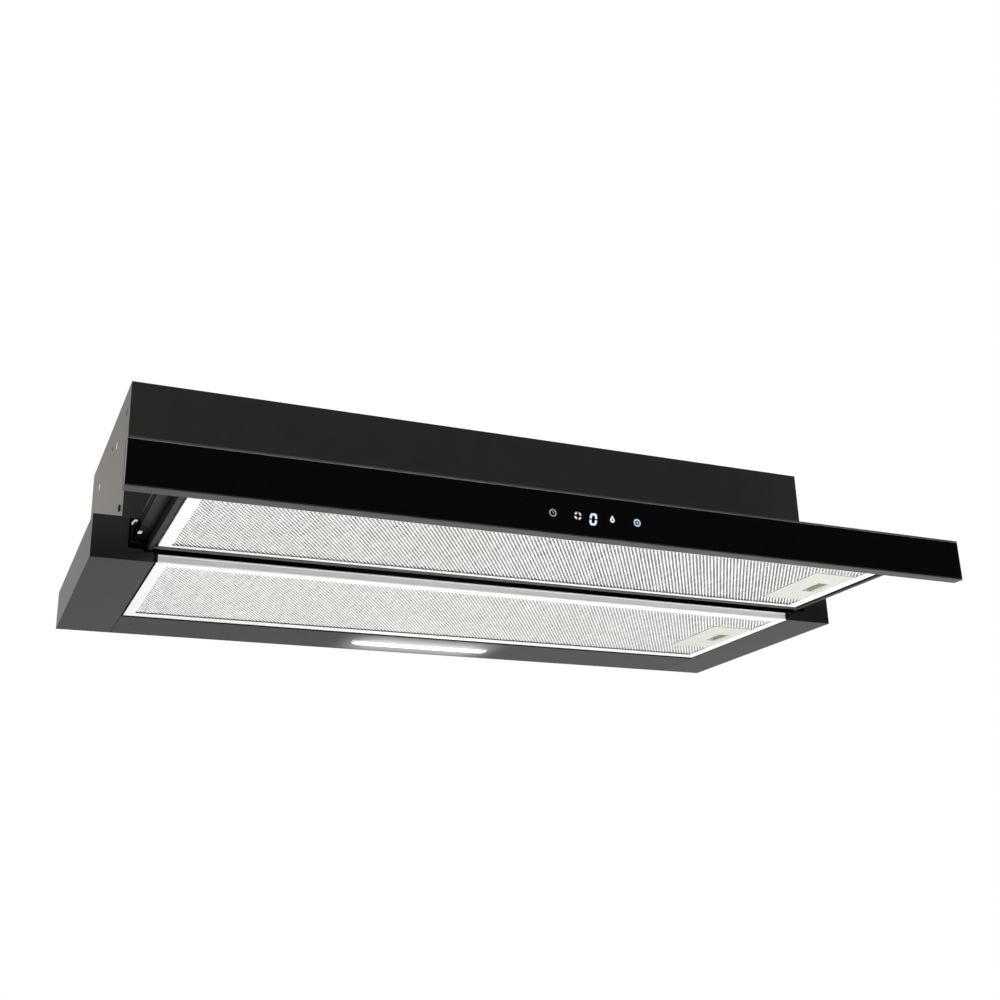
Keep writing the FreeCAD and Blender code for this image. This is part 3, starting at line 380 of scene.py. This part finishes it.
# Profile of a screw's head from its rim to its middle: shares of its radius and of its height
HEAD = np.array([(1, -0.3), (1, 0.45), (0.97, 0.62), (0.9, 0.74), (0.8, 0.81), (0.68, 0.87),
                 (0.6, 0.9), (0.52, 0.93), (0.42, 0.95), (0.32, 0.97), (0.24, 0.98),
                 (0.17, 0.99), (0.1, 1), (0.04, 1)])


def pan_head(at, axis, way, radius, height):
    """The head of a screw with a cross recess, turned from the profile HEAD.

    It drops by 0.55 of its height where the smaller of |x| and |y| is under 0.11 R and r is
    under 0.52 R; the recess fades out over the next 0.05 R across and 0.08 R outwards."""
    u, v, w = np.array(AXES[axis], float)
    r, a = np.meshgrid(HEAD[:, 0], circle(64), indexing="ij")
    off_cross = np.minimum(np.abs(r * np.cos(a)), np.abs(r * np.sin(a)))
    sunk = np.clip((0.16 - off_cross) / 0.05, 0, 1) * np.clip((0.6 - r) / 0.08, 0, 1)
    h = (height * HEAD[:, 1])[:, None] - 0.55 * height * sunk
    across = np.cos(a)[..., None] * u + np.sin(a)[..., None] * v
    return loft(np.array(at) + radius * r[..., None] * across + way * h[..., None] * w)


def screws(name, seats, axis, radius, height, material=SCREW, body="housing", replaced=()):
    """Pan-head screws along an axis; each seat is a point and the way that the head faces."""
    heads = [pan_head(at, axis, way, radius, height) for at, way in seats]
    return make(name, *joined(heads), material, body, "rail_steel", replaced)


def tube(path, radius, around=12):
    """A round wire along a path of points: circles in the plane across the path's direction."""
    path = np.array(path, float)
    along = np.gradient(path, axis=0)
    along /= np.linalg.norm(along, axis=1)[:, None]
    side = np.cross(along, (0, 1, 0))
    side /= np.linalg.norm(side, axis=1)[:, None]
    up = np.cross(along, side)
    angle = circle(around)
    return loft(path[:, None] + radius * (np.cos(angle)[:, None] * side[:, None]
                                          + np.sin(angle)[:, None] * up[:, None]))


def oblong(half_x, half_y, radius, corner=10):
    """Points of a rounded rectangle: a quarter circle round each corner's centre."""
    angle = np.radians(np.linspace(0, 90, corner))
    rows = []
    for quarter, (sx, sy) in enumerate(((1, 1), (-1, 1), (-1, -1), (1, -1))):
        a = angle + quarter * np.pi / 2
        rows.append(np.stack([sx * (half_x - radius) + radius * np.cos(a),
                              sy * (half_y - radius) + radius * np.sin(a)], 1))
    return np.concatenate(rows)


def waved_slab(xs, ys, keep, low, high):
    """A closed slab over the kept cells of a grid, between two height fields on its points: a
    quad below and above each kept cell, and a wall wherever its neighbour isn't kept."""
    x, y = np.meshgrid(xs, ys, indexing="ij")
    points = np.concatenate([np.stack([x, y, z], 2).reshape(-1, 3) for z in (low, high)])
    number = np.arange(x.size).reshape(x.shape)
    i, j = np.nonzero(keep)
    around = [number[i, j], number[i + 1, j], number[i + 1, j + 1], number[i, j + 1]]
    faces = [np.stack(around, 1), np.stack(around, 1) + x.size]
    beyond = np.pad(keep, 1)
    for corner, (di, dj) in enumerate(((0, -1), (1, 0), (0, 1), (-1, 0))):
        edge = ~beyond[i + 1 + di, j + 1 + dj]
        a, b = around[corner][edge], around[(corner + 1) % 4][edge]
        faces.append(np.stack([a, b, b + x.size, a + x.size], 1))
    used, renumbered = np.unique(np.concatenate(faces), return_inverse=True)
    return points[used], renumbered.reshape(-1, 4).tolist()


# Strands of the expanded metal: half their thickness and the rise of their right edge; the
# spread of their widths and the width of the last row, both in mean widths
FOIL_HALF, RISE, UNEVEN, LAST_ROW = 0.12, 0.1, 0.12, 0.4


def expanded_metal(name, x, y, z, plate, cell, wide, body, replaced):
    """Expanded metal between the pairs x and y at height z, with a gap for the latch plate.

    Strand j runs along Y at x_j = x_0 + j p / 2 and zigzags between the bonds:
    x = x_j + (-1)^(i + j) p / 4 at y = y_0 + i q / 2. Its section is a flat parallelogram,
    2 wide p across, with its right edge raised and its left edge lowered by RISE. Along each
    strand the width wanders, as hand-fed foil stretches unevenly: it is 1 plus UNEVEN / 2 times
    the sum of four normal random numbers in a row, kept between 0.4 and 1.6 mean widths. The
    last row, pulled thin by the shears, is less than half as wide."""
    p, q = cell
    chance = np.random.default_rng(5)
    corners = ((1, 1, 1), (-1, 1, -1), (-1, -1, -1), (1, -1, 1))    # side, face, lift
    strands = []
    for strand in range(int((x[1] - x[0]) / (p / 2)) + 1):
        middle = x[0] + strand * p / 2
        beside_plate = middle >= plate[0][0]
        spans = [(y[0], plate[0][1]), (plate[1][1], y[1])] if beside_plate else [y]
        for start, stop in spans:
            i = np.arange(math.ceil((start - y[0]) / (q / 2)), int((stop - y[0]) / (q / 2)) + 1)
            along = y[0] + i * q / 2
            across = middle + np.where((i + strand) % 2 == 0, 1, -1) * p / 4
            wander = np.convolve(chance.normal(size=len(i) + 3), np.full(4, UNEVEN / 2), "valid")
            width = np.where(along > y[1] - 0.9 * q, LAST_ROW, np.clip(1 + wander, 0.4, 1.6))
            strands.append(loft(np.stack([
                np.stack([across + side * width * wide * p, along,
                          z + face * FOIL_HALF + lift * RISE + 0 * along], 1)
                for side, face, lift in corners], 1)))
    return make(name, *joined(strands), STRAND, body, "filter_mesh", replaced, sharp=20)


# Crimps of the packing: their height, their pitch in X and Y, the pitch of their wander, and
# the step of the grid that carries them
CRIMP, PITCH_X, PITCH_Y, DRIFT, STEP = 0.5, 6.3, 5.3, 37, 2.1


def crimped_packing(name, x, y, z, plate, material, body, replaced):
    """Crimped foil between the pairs x, y and z, cut out round the latch plate. Both faces are
    waved by CRIMP sin(2 pi x / PITCH_X + 1.5 sin(2 pi y / DRIFT)) sin(2 pi y / PITCH_Y)."""
    def stations(*stops):
        """Stations about a step apart that meet every stop."""
        spans = [np.linspace(a, b, max(2, int((b - a) / STEP)))[:-1]
                 for a, b in zip(stops, stops[1:])]
        return np.concatenate(spans + [stops[-1:]])

    (left, front, _), (_, back, _) = plate
    xs, ys = stations(x[0], left, x[1]), stations(y[0], front, back, y[1])
    across, along = np.meshgrid(xs, ys, indexing="ij")
    drift = 1.5 * np.sin(2 * np.pi * along / DRIFT)
    wave = (CRIMP * np.sin(2 * np.pi * across / PITCH_X + drift)
            * np.sin(2 * np.pi * along / PITCH_Y))
    near = 0.1    # a station this close to the plate's edge is on it
    cut = (xs[:-1, None] > left - near) & (ys[:-1] > front - near) & (ys[:-1] < back - near)
    return make(name, *waved_slab(xs, ys, ~cut, z[0] + wave, z[1] + wave), material, body,
                "filter_core", replaced)


# Folded steel: casing, tray and drawer

for node in ("casing_front_panel", "casing_side_left", "casing_side_right", "casing_rear_panel"):
    rounded(node, PANEL, FOLD)
for node in ("tray_side_left", "tray_side_right", "tray_rear_wall"):
    rounded(node, POWDER, FOLD)
# the strip behind the fixed filter carries the painted glow round the lamp
rounded("tray_rear_strip", SPILL_PAINTED_GLOW, FOLD)
rounded("casing_top_panel", PANEL, 0.15)
for node in ("drawer_side_left", "drawer_side_right", "drawer_top_cover", "drawer_front_bar"):
    part = rounded(node, POWDER, 0.3)
    if "side" in node:    # felt on their outer faces
        # the black felt on the outer faces is painted shade for the dark gap between the drawer and
        # the tray
        recolour(part, FELT_PAINTED_SHADE, lambda at: abs(at[0]) > DRAWER_SIDE - 0.1)

# Glass front on its holder, with its upper edge ground
low, high = extent("front_glass")
glass = rounded("front_glass", GLASS, 0.5, steps=2)
recolour(glass, GROUND, lambda at: at[2] > high[2] - 0.45)
rounded("glass_holder", ANODISED, 0.2)
rounded("holder_end_caps", BLACK_ABS_AND_PAINTED_SHADE, 0.25)

# Ball rails: black outside, and bare zinc on the moving rail's web, between the rows of balls
WEB_LOW, WEB_HIGH = 21.2, 32.8
for tag in ("left", "right"):
    rounded("rail_outer_" + tag, RAIL, 0.3)
    inner = rounded("rail_inner_" + tag, RAIL, 0.3)
    recolour(inner, ZINC, lambda at: WEB_LOW < at[2] < WEB_HIGH)

# Grease filters: the window lies one border inside the frame, and tabs stick out on its left.
# The packing ends short of the rear border, which leaves the dark row seen along that edge.
TAB, BORDER, CELL = 5.0, 11.5, (3.87, 5.95)
WIDE_CELL = (2 * CELL[0], 2 * CELL[1])    # of the upper sheet, which is out of sight
LAP = 1    # how far the expanded metal runs in under the borders
SHEET, INNER = 1.25, 2.7    # depths of the expanded metal and of the packing in the frame
SHORT = 5.5    # from the packing's rear end to the expanded metal's
for kind, rear_border, wide in (("fixed", BORDER, 0.2), ("drawer", 7.0, 0.185)):
    low, high = extent(kind + "_filter_frame")
    filter_frame = rounded(kind + "_filter_frame", LACQUER, 0.35)
    # the tabs and the inside of the channel along the rear border are black, painted shade for the
    # dark gap beside the filter and the dark row along its rear edge
    recolour(filter_frame, BLACK_ABS_AND_PAINTED_SHADE, lambda at: at[0] < low[0] + TAB - 0.05 or (
        high[1] - rear_border + 0.3 < at[1] < high[1] - 0.4
        and low[2] + 0.6 < at[2] < high[2] - 0.6))
    plate = extent(kind + "_filter_latch_plate")
    body = nodes[kind + "_filter_mesh"]["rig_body"]
    x = (low[0] + TAB + BORDER - LAP, high[0] - BORDER + LAP)
    y = (low[1] + BORDER - LAP, high[1] - rear_border + LAP)
    for sheet, z, cell, share in (("expanded", low[2] + SHEET, CELL, wide),
                                  ("upper", high[2] - SHEET, WIDE_CELL, 0.2)):
        expanded_metal(f"{kind}_filter_{sheet}_metal", x, y, z, plate, cell, share, body,
                       [kind + "_filter_mesh"])
    crimped_packing(kind + "_filter_packing", x, (y[0], y[1] - SHORT),
                    (low[2] + INNER, high[2] - INNER), plate, PACKINGS_PAINTED_SHADE[kind], body,
                    [kind + "_filter_core"])
    rounded(kind + "_filter_latch_plate", CREAM, 0.5)
    # the latch is a touch flatter than its node, so that it slides clear of its recess's roof
    latch = rounded(kind + "_filter_latch", ACETAL, 0.4)
    bottom = min(vertex.co.z for vertex in latch.data.vertices)
    for vertex in latch.data.vertices:
        vertex.co.z = bottom + 0.97 * (vertex.co.z - bottom)

# Bar under the drawer filter's rear edge: an angle of 1 mm strip with a wide bend and a rolled
# nose. Its section goes down the back, round the bend, round the nose and back up inside.
low, high = extent("drawer_rear_bar")
back, bottom, top = high[1], low[2], high[2]
STRIP, BEND = 1, 5
bend = np.radians(np.linspace(0, -90, 9))
nose = np.radians(np.linspace(-90, -270, 9))
outer, inner = [np.stack([back - BEND + radius * np.cos(bend),
                          bottom + BEND + radius * np.sin(bend)], 1)
                for radius in (BEND, BEND - STRIP)]
edge = np.stack([low[1] + STRIP / 2 + STRIP / 2 * np.cos(nose),
                 bottom + STRIP / 2 + STRIP / 2 * np.sin(nose)], 1)
profile = np.concatenate([[(back, top)], outer, edge, inner[::-1], [(back - STRIP, top)]])
make("drawer_rear_bar_rolled", *loft([np.insert(profile, 0, x, axis=1) for x in (low[0], high[0])]),
     PALE_ANODISED, "drawer", "grey_bar", ["drawer_rear_bar"])

# Lamp lens: a rounded oblong that bulges 1.8 mm out of the strip, over a flange inside it.
# Each ring is the window's outline grown by the first number, at the height of the second.
low, high = extent("lamp_lens")
centre = (low + high) / 2
FLANGE = 2.0
half_x, half_y = (high - low)[:2] / 2 - FLANGE
rings = []
for grow, z in ((FLANGE, 3.0), (FLANGE, 1.05), (0.0, 1.0), (0.0, -0.2), (-0.3, -0.7),
                (-1.0, -1.15), (-2.2, -1.5), (-4.0, -1.75), (-6.5, -1.8)):
    ring = oblong(half_x + grow, half_y + grow, 7.0 + min(grow, 0)) + centre[:2]
    rings.append(np.insert(ring, 2, z, axis=1))
make("lamp_lens_domed", *loft(rings), DIFFUSER, "housing", "lamp_lens", ["lamp_lens"], sharp=50)

# Screws: the upper ones of the casing are flat and painted over
for level, z, height, material in (("low", 55, 1.8, SCREW), ("high", 150, 0.4, PANEL)):
    screws("casing_screws_" + level, [((side * CASING_SIDE, 22, z), side) for side in (-1, 1)],
           "x", 3.3, height, material, replaced=["casing_screws"])
low, high = extent("holder_screws")
screws("holder_screws_cross", [((x, high[1] - 1.8, 16), 1) for x in (-270, -90, 90, 270)],
       "y", 3.3, 1.8, body="drawer", replaced=["holder_screws"])
reach = 66    # of the flange's screws from the middle of the outlet, on its diagonals
screws("outlet_flange_screws",
       [((reach * sx * math.sqrt(0.5), ORIGIN[1] + reach * sy * math.sqrt(0.5), 174.5), 1)
        for sx in (-1, 1) for sy in (-1, 1)], "z", 3.0, 1.6)
screws("casing_rear_screws", [((x, CASING_BACK, z), 1)
                              for x in (-364, -122, 122, 364) for z in (49, 165)], "y", 2.9, 1.4)
screws("casing_top_screws", [((x, y, CASING_TOP), 1)
                             for x in (-366, -183, 183, 366) for y in (8, 257)], "z", 2.9, 1.4)

# Rating plate on the back: a bare film with ruled lines and a square in place of print
PLATE_AT = np.array([-270.0, CASING_BACK, 106.0])
FILM_THICK, PRINT_THICK = 0.15, 0.04


def film(half_x, half_z, radius, rise, thick, x=0.0, z=0.0):
    """A thin oblong at (x, z) on the rating plate, rise above the casing's back."""
    ring = oblong(half_x, half_z, radius)
    return loft([np.stack([ring[:, 0] + x, 0 * ring[:, 0] + height, ring[:, 1] + z], 1) + PLATE_AT
                 for height in (rise, rise + thick)])


make("rating_film", *film(48, 26, 2.5, 0, FILM_THICK), FILM, "housing", "rail_steel")
# half length and height of each line; they begin at the same margin
lines = [film(half, 0.55, 0.4, FILM_THICK, PRINT_THICK, x=42 - half, z=z)
         for half, z in ((30, 18), (22, 12), (38, 4), (34, -1), (36, -6), (28, -11))]
square = film(5, 5, 0.6, FILM_THICK, PRINT_THICK, x=-38, z=-16)
make("rating_lines", *joined(lines + [square]), PRINT, "housing", "rail_steel")

# Plated eyelets in the holes that fix the hood to its cabinet: a sleeve with a rolled flange
EYELET = [(2.5, -0.9), (2.5, 0.15), (2.65, 0.3), (3.3, 0.3), (3.6, 0.1), (3.6, -0.05)]
HOLES = ((78, 137.5), (201, 137.5))
# the eyelets are painted near-white, so that they show as highlights round the holes
make("side_eyelets", *joined([turned((side * CASING_SIDE, y, z), "x", EYELET, side)
                              for side in (-1, 1) for y, z in HOLES]),
     NICKEL_PAINTED_HIGHLIGHT, "housing", "pin_steel")

# In each rail: a bow spring in the fixed rail's mouth, painted bright as a highlight, and in the
# drawer's rail a sliding insert in black felt, painted shade, and, under its rear end, a long rivet
# with a low crown, painted bright as a highlight
bow = np.radians(np.linspace(190, 75, 14))
SPRING_AT, SPRING_RADIUS, WIRE_RADIUS = (360.2, -0.1, 33.9), 3.3, 0.95
INSERT = ((351.3, 22.2), (360.2, 21.9), (360.9, 23), (360.9, 31), (360.2, 32.1), (351.3, 31.8))
INSERT_ENDS = (-188, -34)
RIVET_AT, RIVET_HALF = (359.2, -19), (1.7, 4.4)
RIVET = ((0, 20.9), (0, 20.45), (-0.3, 20.38), (-1.2, 20.35))    # growth and height of its rings
for side, tag in ((-1, "left"), (1, "right")):
    x, y, z = SPRING_AT
    spring = tube([(side * (x - SPRING_RADIUS * math.cos(a)), y, z + SPRING_RADIUS * math.sin(a))
                   for a in bow], WIRE_RADIUS)
    make("rail_spring_" + tag, *spring, NICKEL_PAINTED_HIGHLIGHT, "housing", "ball_steel")
    insert = [[(side * x, y, z) for x, z in INSERT] for y in INSERT_ENDS]
    make("rail_insert_" + tag, *loft(insert), FELT_PAINTED_SHADE, "drawer", "black_plastic")
    (half_x, half_y), (x, y) = RIVET_HALF, RIVET_AT
    rivet = [np.insert(oblong(half_x + grow, half_y + grow, half_x + grow) + (side * x, y),
                       2, z, axis=1) for grow, z in RIVET]
    make("rail_rivet_" + tag, *loft(rivet), NICKEL_PAINTED_HIGHLIGHT, "drawer", "ball_steel")

# Beads of dark sealant along the joints between the strip behind the fixed filter and the
# tray's sides: flat arches 1 mm wide, from just inside the joint to just under it
low, high = extent("tray_rear_strip")
arch = np.radians(np.linspace(0, 180, 9))
HALF, FOOT, RISING = 0.5, 0.25, 0.37
make("sealant_beads", *joined([
    loft([[(x + HALF * math.cos(a), y, FOOT - RISING * math.sin(a)) for a in arch]
          for y in (low[1] + 0.4, high[1] - 0.4)]) for x in (low[0], high[0])]),
    RUBBER, "housing", "rubber")

# Hems along the lower and upper edges of the fixed filter's front: round beads in the sheet
low, high = extent("fixed_filter_frame")
wall = np.radians(np.arange(0, 360, 20))
HEMS = ((1.7, 1.45, low[2] + 1.5), (1.0, 0.45, high[2] - 0.7))    # radius, depth and height
make("fixed_filter_hems", *joined([
    loft([[(x, low[1] + depth + radius * math.cos(a), z + radius * math.sin(a)) for a in wall]
          for x in (low[0] + TAB + 0.3, high[0] - 0.3)]) for radius, depth, z in HEMS]),
    LACQUER, "housing", "filter_frame")


def bead(x, y, z):
    """A bead between the pairs x, y and z: its longest side is its run, its section an ellipse."""
    pairs = np.array([x, y, z], float)
    middle, half = pairs.mean(axis=1), np.ptp(pairs, axis=1) / 2
    run = int(half.argmax())
    u, v = [axis for axis in range(3) if axis != run]
    rings = np.empty((2, len(wall), 3))
    rings[:, :, run] = pairs[run][:, None]
    rings[:, :, u] = middle[u] + half[u] * np.cos(wall)
    rings[:, :, v] = middle[v] + half[v] * np.sin(wall)
    return loft(rings)


# Black felt seal round the fixed filter, painted shade for the dark gaps round it: a bead that
# stands out of the gap on each side, one up each front corner, and a broad one behind the filter
beads = [bead((side * x - half, side * x + half), y, z)
         for x, half, y, z in ((FILTER_SIDE - 0.2, 0.95, (0.5, 197), (-0.35, 0.35)),
                               (FILTER_SIDE - 0.5, 1.6, (-0.75, 0.4), (0.2, 9.2)))
         for side in (-1, 1)]
beads.append(bead((-FILTER_SIDE, FILTER_SIDE), (195.8, 201.4), (-0.5, 0.35)))
make("fixed_filter_seal", *joined(beads), FELT_PAINTED_SHADE, "housing", "rubber")

# Parts that only get their edges rounded
for node, material, radius in (
        ("lamp_holder", BLACK_ABS_AND_PAINTED_SHADE, 0.3), ("rail_brackets", BLACK_ABS_AND_PAINTED_SHADE, 0.3),
        ("ball_cage_left", BLACK_ABS_AND_PAINTED_SHADE, 0.1), ("ball_cage_right", BLACK_ABS_AND_PAINTED_SHADE, 0.1),
        ("outlet_collar", BLACK_ABS_AND_PAINTED_SHADE, 0.3), ("damper_flap_left", BLACK_ABS_AND_PAINTED_SHADE, 0.25),
        ("damper_flap_right", BLACK_ABS_AND_PAINTED_SHADE, 0.25), ("motor_bracket", GALVANISED, 0.3),
        ("control_box", BLACK_ABS_AND_PAINTED_SHADE, 0.5), ("control_box_lid", BLACK_ABS_AND_PAINTED_SHADE, 0.5),
        ("cable_gland", BLACK_ABS_AND_PAINTED_SHADE, 0.5), ("drawer_bumpers", RUBBER, 0.3),
        ("display_module", BLACK_ABS_AND_PAINTED_SHADE, 0.3)):
    rounded(node, material, radius)

# CAD nodes that keep their own shape
KEPT = {
    "lamp_led_board": WHITE_BOARD, "rail_balls_left": BEARING, "rail_balls_right": BEARING,
    "damper_pins": ZINC, "scroll_housing": GALVANISED, "scroll_end_left": GALVANISED,
    "scroll_end_right": GALVANISED, "motor_body": GALVANISED, "motor_shaft": ZINC,
    "impeller_left": POLYPROPYLENE, "impeller_right": POLYPROPYLENE, "capacitor": CAN,
    "touch_board": BOARD,
}
for node, material in KEPT.items():
    nodes[node].data.materials.clear()
    nodes[node].data.materials.append(material)


# Lit symbols on the glass

FACE_Y, PROUD = -207.2, 0.06    # the glass's front face, and how far a symbol stands out of it


def flat_symbol(name, outlines, material):
    """Thin flats on the glass. Each outline is an outer and an inner row of (x, z) points, and
    whether the rows close; a flat's four-cornered section runs between them."""
    points, faces, count = [], [], 0
    for outer, inner, closed in outlines:
        n = len(outer)
        corners = ((outer, FACE_Y), (outer, FACE_Y - PROUD), (inner, FACE_Y - PROUD),
                   (inner, FACE_Y))
        rows = [np.stack([row[:, 0], np.full(n, y), row[:, 1]], 1) for row, y in corners]
        points.append(np.stack(rows, 1).reshape(-1, 3))
        faces.extend((grid(n, 4, close_rows=closed, close_columns=True) + count).tolist())
        if not closed:
            first, last = count + np.arange(4), count + 4 * (n - 1) + np.arange(4)
            faces.extend([first.tolist(), last[::-1].tolist()])
        count += 4 * n
    return make(name, np.concatenate(points), faces, material, "drawer", "lamp_lens", sharp=30)


def arc(x, z, radius, start, stop, count):
    """Points on a circle round (x, z) from start to stop degrees."""
    angle = np.radians(np.linspace(start, stop, count))
    return np.stack([x + radius * np.cos(angle), z + radius * np.sin(angle)], 1)


def band(x, z, inner, outer, start=0, stop=360):
    """A ring, or a sector of one, as the rows that flat_symbol takes."""
    closed = stop - start >= 360
    count = 48 if closed else 49
    if closed:    # the last point stays one step short of the first
        stop = start + (stop - start) * (count - 1) / count
    return arc(x, z, outer, start, stop, count), arc(x, z, inner, start, stop, count), closed


def stroke(x, z, start, stop, width):
    """A straight stroke between two points that are given from (x, z)."""
    ends = np.array([start, stop], float) + (x, z)
    along = ends[1] - ends[0]
    side = np.array([-along[1], along[0]]) / np.hypot(*along) * width / 2
    return ends + side, ends - side, False


def bent(angle, power):
    """A cosine and a sine drawn towards the corners of their square: sign(c) |c|^power."""
    return [np.sign(part) * np.abs(part) ** power for part in (np.cos(angle), np.sin(angle))]


# Where each symbol's middle is on the glass
TIMER, FAN, DIGIT = (-46.8, 13.0), (-23.0, 13.0), (-8.2, 11.4)
DROP, LIGHT = (10.5, 12.9), (35.1, 13.0)
# A clock: a ring with two hands
flat_symbol("timer_symbol", [band(*TIMER, 2.3, 3.5), stroke(*TIMER, (0, -0.5), (0, 1.3), 0.8),
                             stroke(*TIMER, (-0.2, 0), (1.1, 0), 0.8)], DIM_LIGHT)
# A fan: a ring in four blades
flat_symbol("fan_symbol", [band(*FAN, 2.0, 3.6, a, a + 56) for a in (12, 102, 192, 282)],
            WHITE_LIGHT)
# A lamp: a ring with two strokes in it
flat_symbol("light_symbol", [band(*LIGHT, 2.2, 3.55), stroke(*LIGHT, (0.6, -1.5), (0.6, 1.6), 0.8),
                             stroke(*LIGHT, (-1.2, -0.5), (0.5, 1.3), 0.7)], BLUE_LIGHT)
# The digit is a leaning oblong in two halves with a gap of a few degrees at each end
LEAN, GAP = 0.12, 2.5
halves = []
for start in (GAP, 180 + GAP):
    across, up = bent(np.radians(np.linspace(start, start + 180 - 2 * GAP, 40)), 0.6)
    rows = [np.stack([DIGIT[0] + across * wide + LEAN * (up * tall), DIGIT[1] + up * tall], 1)
            for wide, tall in ((3.65, 5.55), (1.6, 3.6))]
    halves.append((*rows, False))
flat_symbol("speed_digit", halves, LILAC_LIGHT)
# The drop is a circle drawn out to a point, round a dark dot
turn = np.radians(np.arange(0, 360, 7.5))
up = np.clip(np.sin(turn), 0, 1)
DROP_RADIUS, DOT_RADIUS = 2.45, 0.85
drop = np.stack([DROP[0] + DROP_RADIUS * np.cos(turn) * (1 - 0.25 * up),
                 DROP[1] + DROP_RADIUS * np.sin(turn) * (1 + 0.62 * up ** 5)], 1)
dot = DROP + DOT_RADIUS * np.stack([np.cos(turn), np.sin(turn)], 1)
flat_symbol("drop_symbol", [(drop, dot, True)], WHITE_LIGHT)


# Studio

def pale_floor():
    """A wide pale floor far below the hood, so that its shadow falls softly."""
    half, z = 9.0, -1.6
    mesh = bpy.data.meshes.new("floor")
    mesh.from_pydata([(-half, -half, z), (half, -half, z), (half, half, z), (-half, half, z)],
                     [], [(0, 1, 2, 3)])
    floor = bpy.data.objects.new("floor", mesh)
    bpy.context.scene.collection.objects.link(floor)
    material = finish("pale_floor", "#cfcfcf", "#cbcbcb", (0.7, 0.8), 20, 0.1)
    mesh.materials.append(material)
    # the camera alone sees it blended with an even pale tone, which keeps it pale far away
    tree = material.node_tree
    ray = add(tree, "ShaderNodeLightPath")
    share = add(tree, "ShaderNodeMath", [(0, ray.outputs["Is Camera Ray"])],
                operation="MULTIPLY")
    share.inputs[1].default_value = 0.4
    even = add(tree, "ShaderNodeEmission", Strength=0.9)
    seen = add(tree, "ShaderNodeMixShader", [("Fac", share.outputs[0]), (2, even.outputs[0]),
                                             (1, tree.nodes["Principled BSDF"].outputs[0])])
    tree.links.new(seen.outputs[0], tree.nodes["Material Output"].inputs["Surface"])


def studio():
    """White world for the camera; other rays also find it white except overhead and behind the
    camera, where the studio is dark, so the black glass has a dark room to mirror."""
    world = bpy.data.worlds.new("studio")
    bpy.context.scene.world = world
    world.use_nodes = True
    tree = world.node_tree
    background = tree.nodes["Background"]
    ray = add(tree, "ShaderNodeLightPath")
    where = add(tree, "ShaderNodeTexCoord")
    split = add(tree, "ShaderNodeSeparateXYZ", [("Vector", where.outputs["Generated"])])
    front = add(tree, "ShaderNodeMapRange", [("Value", split.outputs["Y"])],
                interpolation_type="SMOOTHSTEP",
                From_Min=-0.55, From_Max=0.1, To_Min=0.02, To_Max=1.0)
    zenith = add(tree, "ShaderNodeMapRange", [("Value", split.outputs["Z"])],
                 interpolation_type="SMOOTHSTEP",
                 From_Min=0.15, From_Max=0.8, To_Min=1.0, To_Max=0.25)
    dome = add(tree, "ShaderNodeMath", [(0, front.outputs[0]), (1, zenith.outputs[0])],
               operation="MULTIPLY")
    seen = add(tree, "ShaderNodeMath", [(0, ray.outputs["Is Camera Ray"]),
                                        (1, ray.outputs["Is Transmission Ray"])],
               operation="MAXIMUM")
    tone = add(tree, "ShaderNodeMix", [("Factor", seen.outputs[0]), ("A", dome.outputs[0])],
               data_type="FLOAT")
    tone.inputs["B"].default_value = 1.0
    tree.links.new(tone.outputs["Result"], background.inputs["Strength"])
    background.inputs["Color"].default_value = (1, 1, 1, 1)


def soft_light(name, at, aim, size, power, mirrored=True):
    """An area light of the pair size in metres at a point, turned towards another; where it
    isn't mirrored, glossy faces don't show it."""
    lamp = bpy.data.lights.new(name, "AREA")
    lamp.shape = "RECTANGLE"
    lamp.size, lamp.size_y = size
    lamp.energy = power
    holder = bpy.data.objects.new(name, lamp)
    holder.location = at
    holder.rotation_euler = (Vector(aim) - Vector(at)).to_track_quat("-Z", "Y").to_euler()
    holder.visible_camera = False
    holder.visible_glossy = mirrored
    bpy.context.scene.collection.objects.link(holder)


def camera():
    """The photograph's view, solved from the corners of the casing, tray and glass."""
    lens = bpy.data.cameras.new("camera")
    lens.lens = 46.21
    lens.sensor_width = 36
    lens.sensor_fit = "HORIZONTAL"
    holder = bpy.data.objects.new("camera", lens)
    # its columns are the camera's right, up and back, and where it stands
    holder.matrix_world = Matrix(((0.91406, -0.11166, -0.3899, -0.51325),
                                  (-0.40463, -0.31664, -0.85792, -1.25851),
                                  (-0.02766, 0.94195, -0.33461, -0.51261),
                                  (0, 0, 0, 1)))
    bpy.context.scene.collection.objects.link(holder)
    bpy.context.scene.camera = holder


pale_floor()
studio()
# Light from below for the filters, from the front and the left for the walls, and on the floor
# at the back, which the black undersides mirror
soft_light("under_light", (0.4, -0.65, -1.5), (0.4, -0.65, 0), (1.6, 1.6), 27.5, mirrored=False)
soft_light("front_light", (-0.25, -3.0, 0.0), (0, -0.13, -0.06), (0.5, 0.6), 74, mirrored=False)
soft_light("side_light", (-2.6, -0.9, 0.9), (0, -0.1, -0.1), (1.6, 1.6), 20)
soft_light("back_light", (4.6, 4.4, 1.2), (4.2, 5.4, -1.6), (2.0, 2.0), 86)
# Light for the back and the top, which the photograph doesn't show
soft_light("rear_light", (1.5, 3.2, 1.5), (0, 0.13, -0.05), (2.0, 1.6), 62)
soft_light("top_light", (0.2, 0.3, 2.9), (0, 0.15, 0), (2.0, 2.0), 38)
# The lamp's own glow on the strip round it
soft_light("lamp_glow", (0, 0.106, -0.181), (0, 0.106, 0), (0.15, 0.012), 0.8, mirrored=False)
camera()
bpy.context.scene.view_settings.view_transform = "Standard"
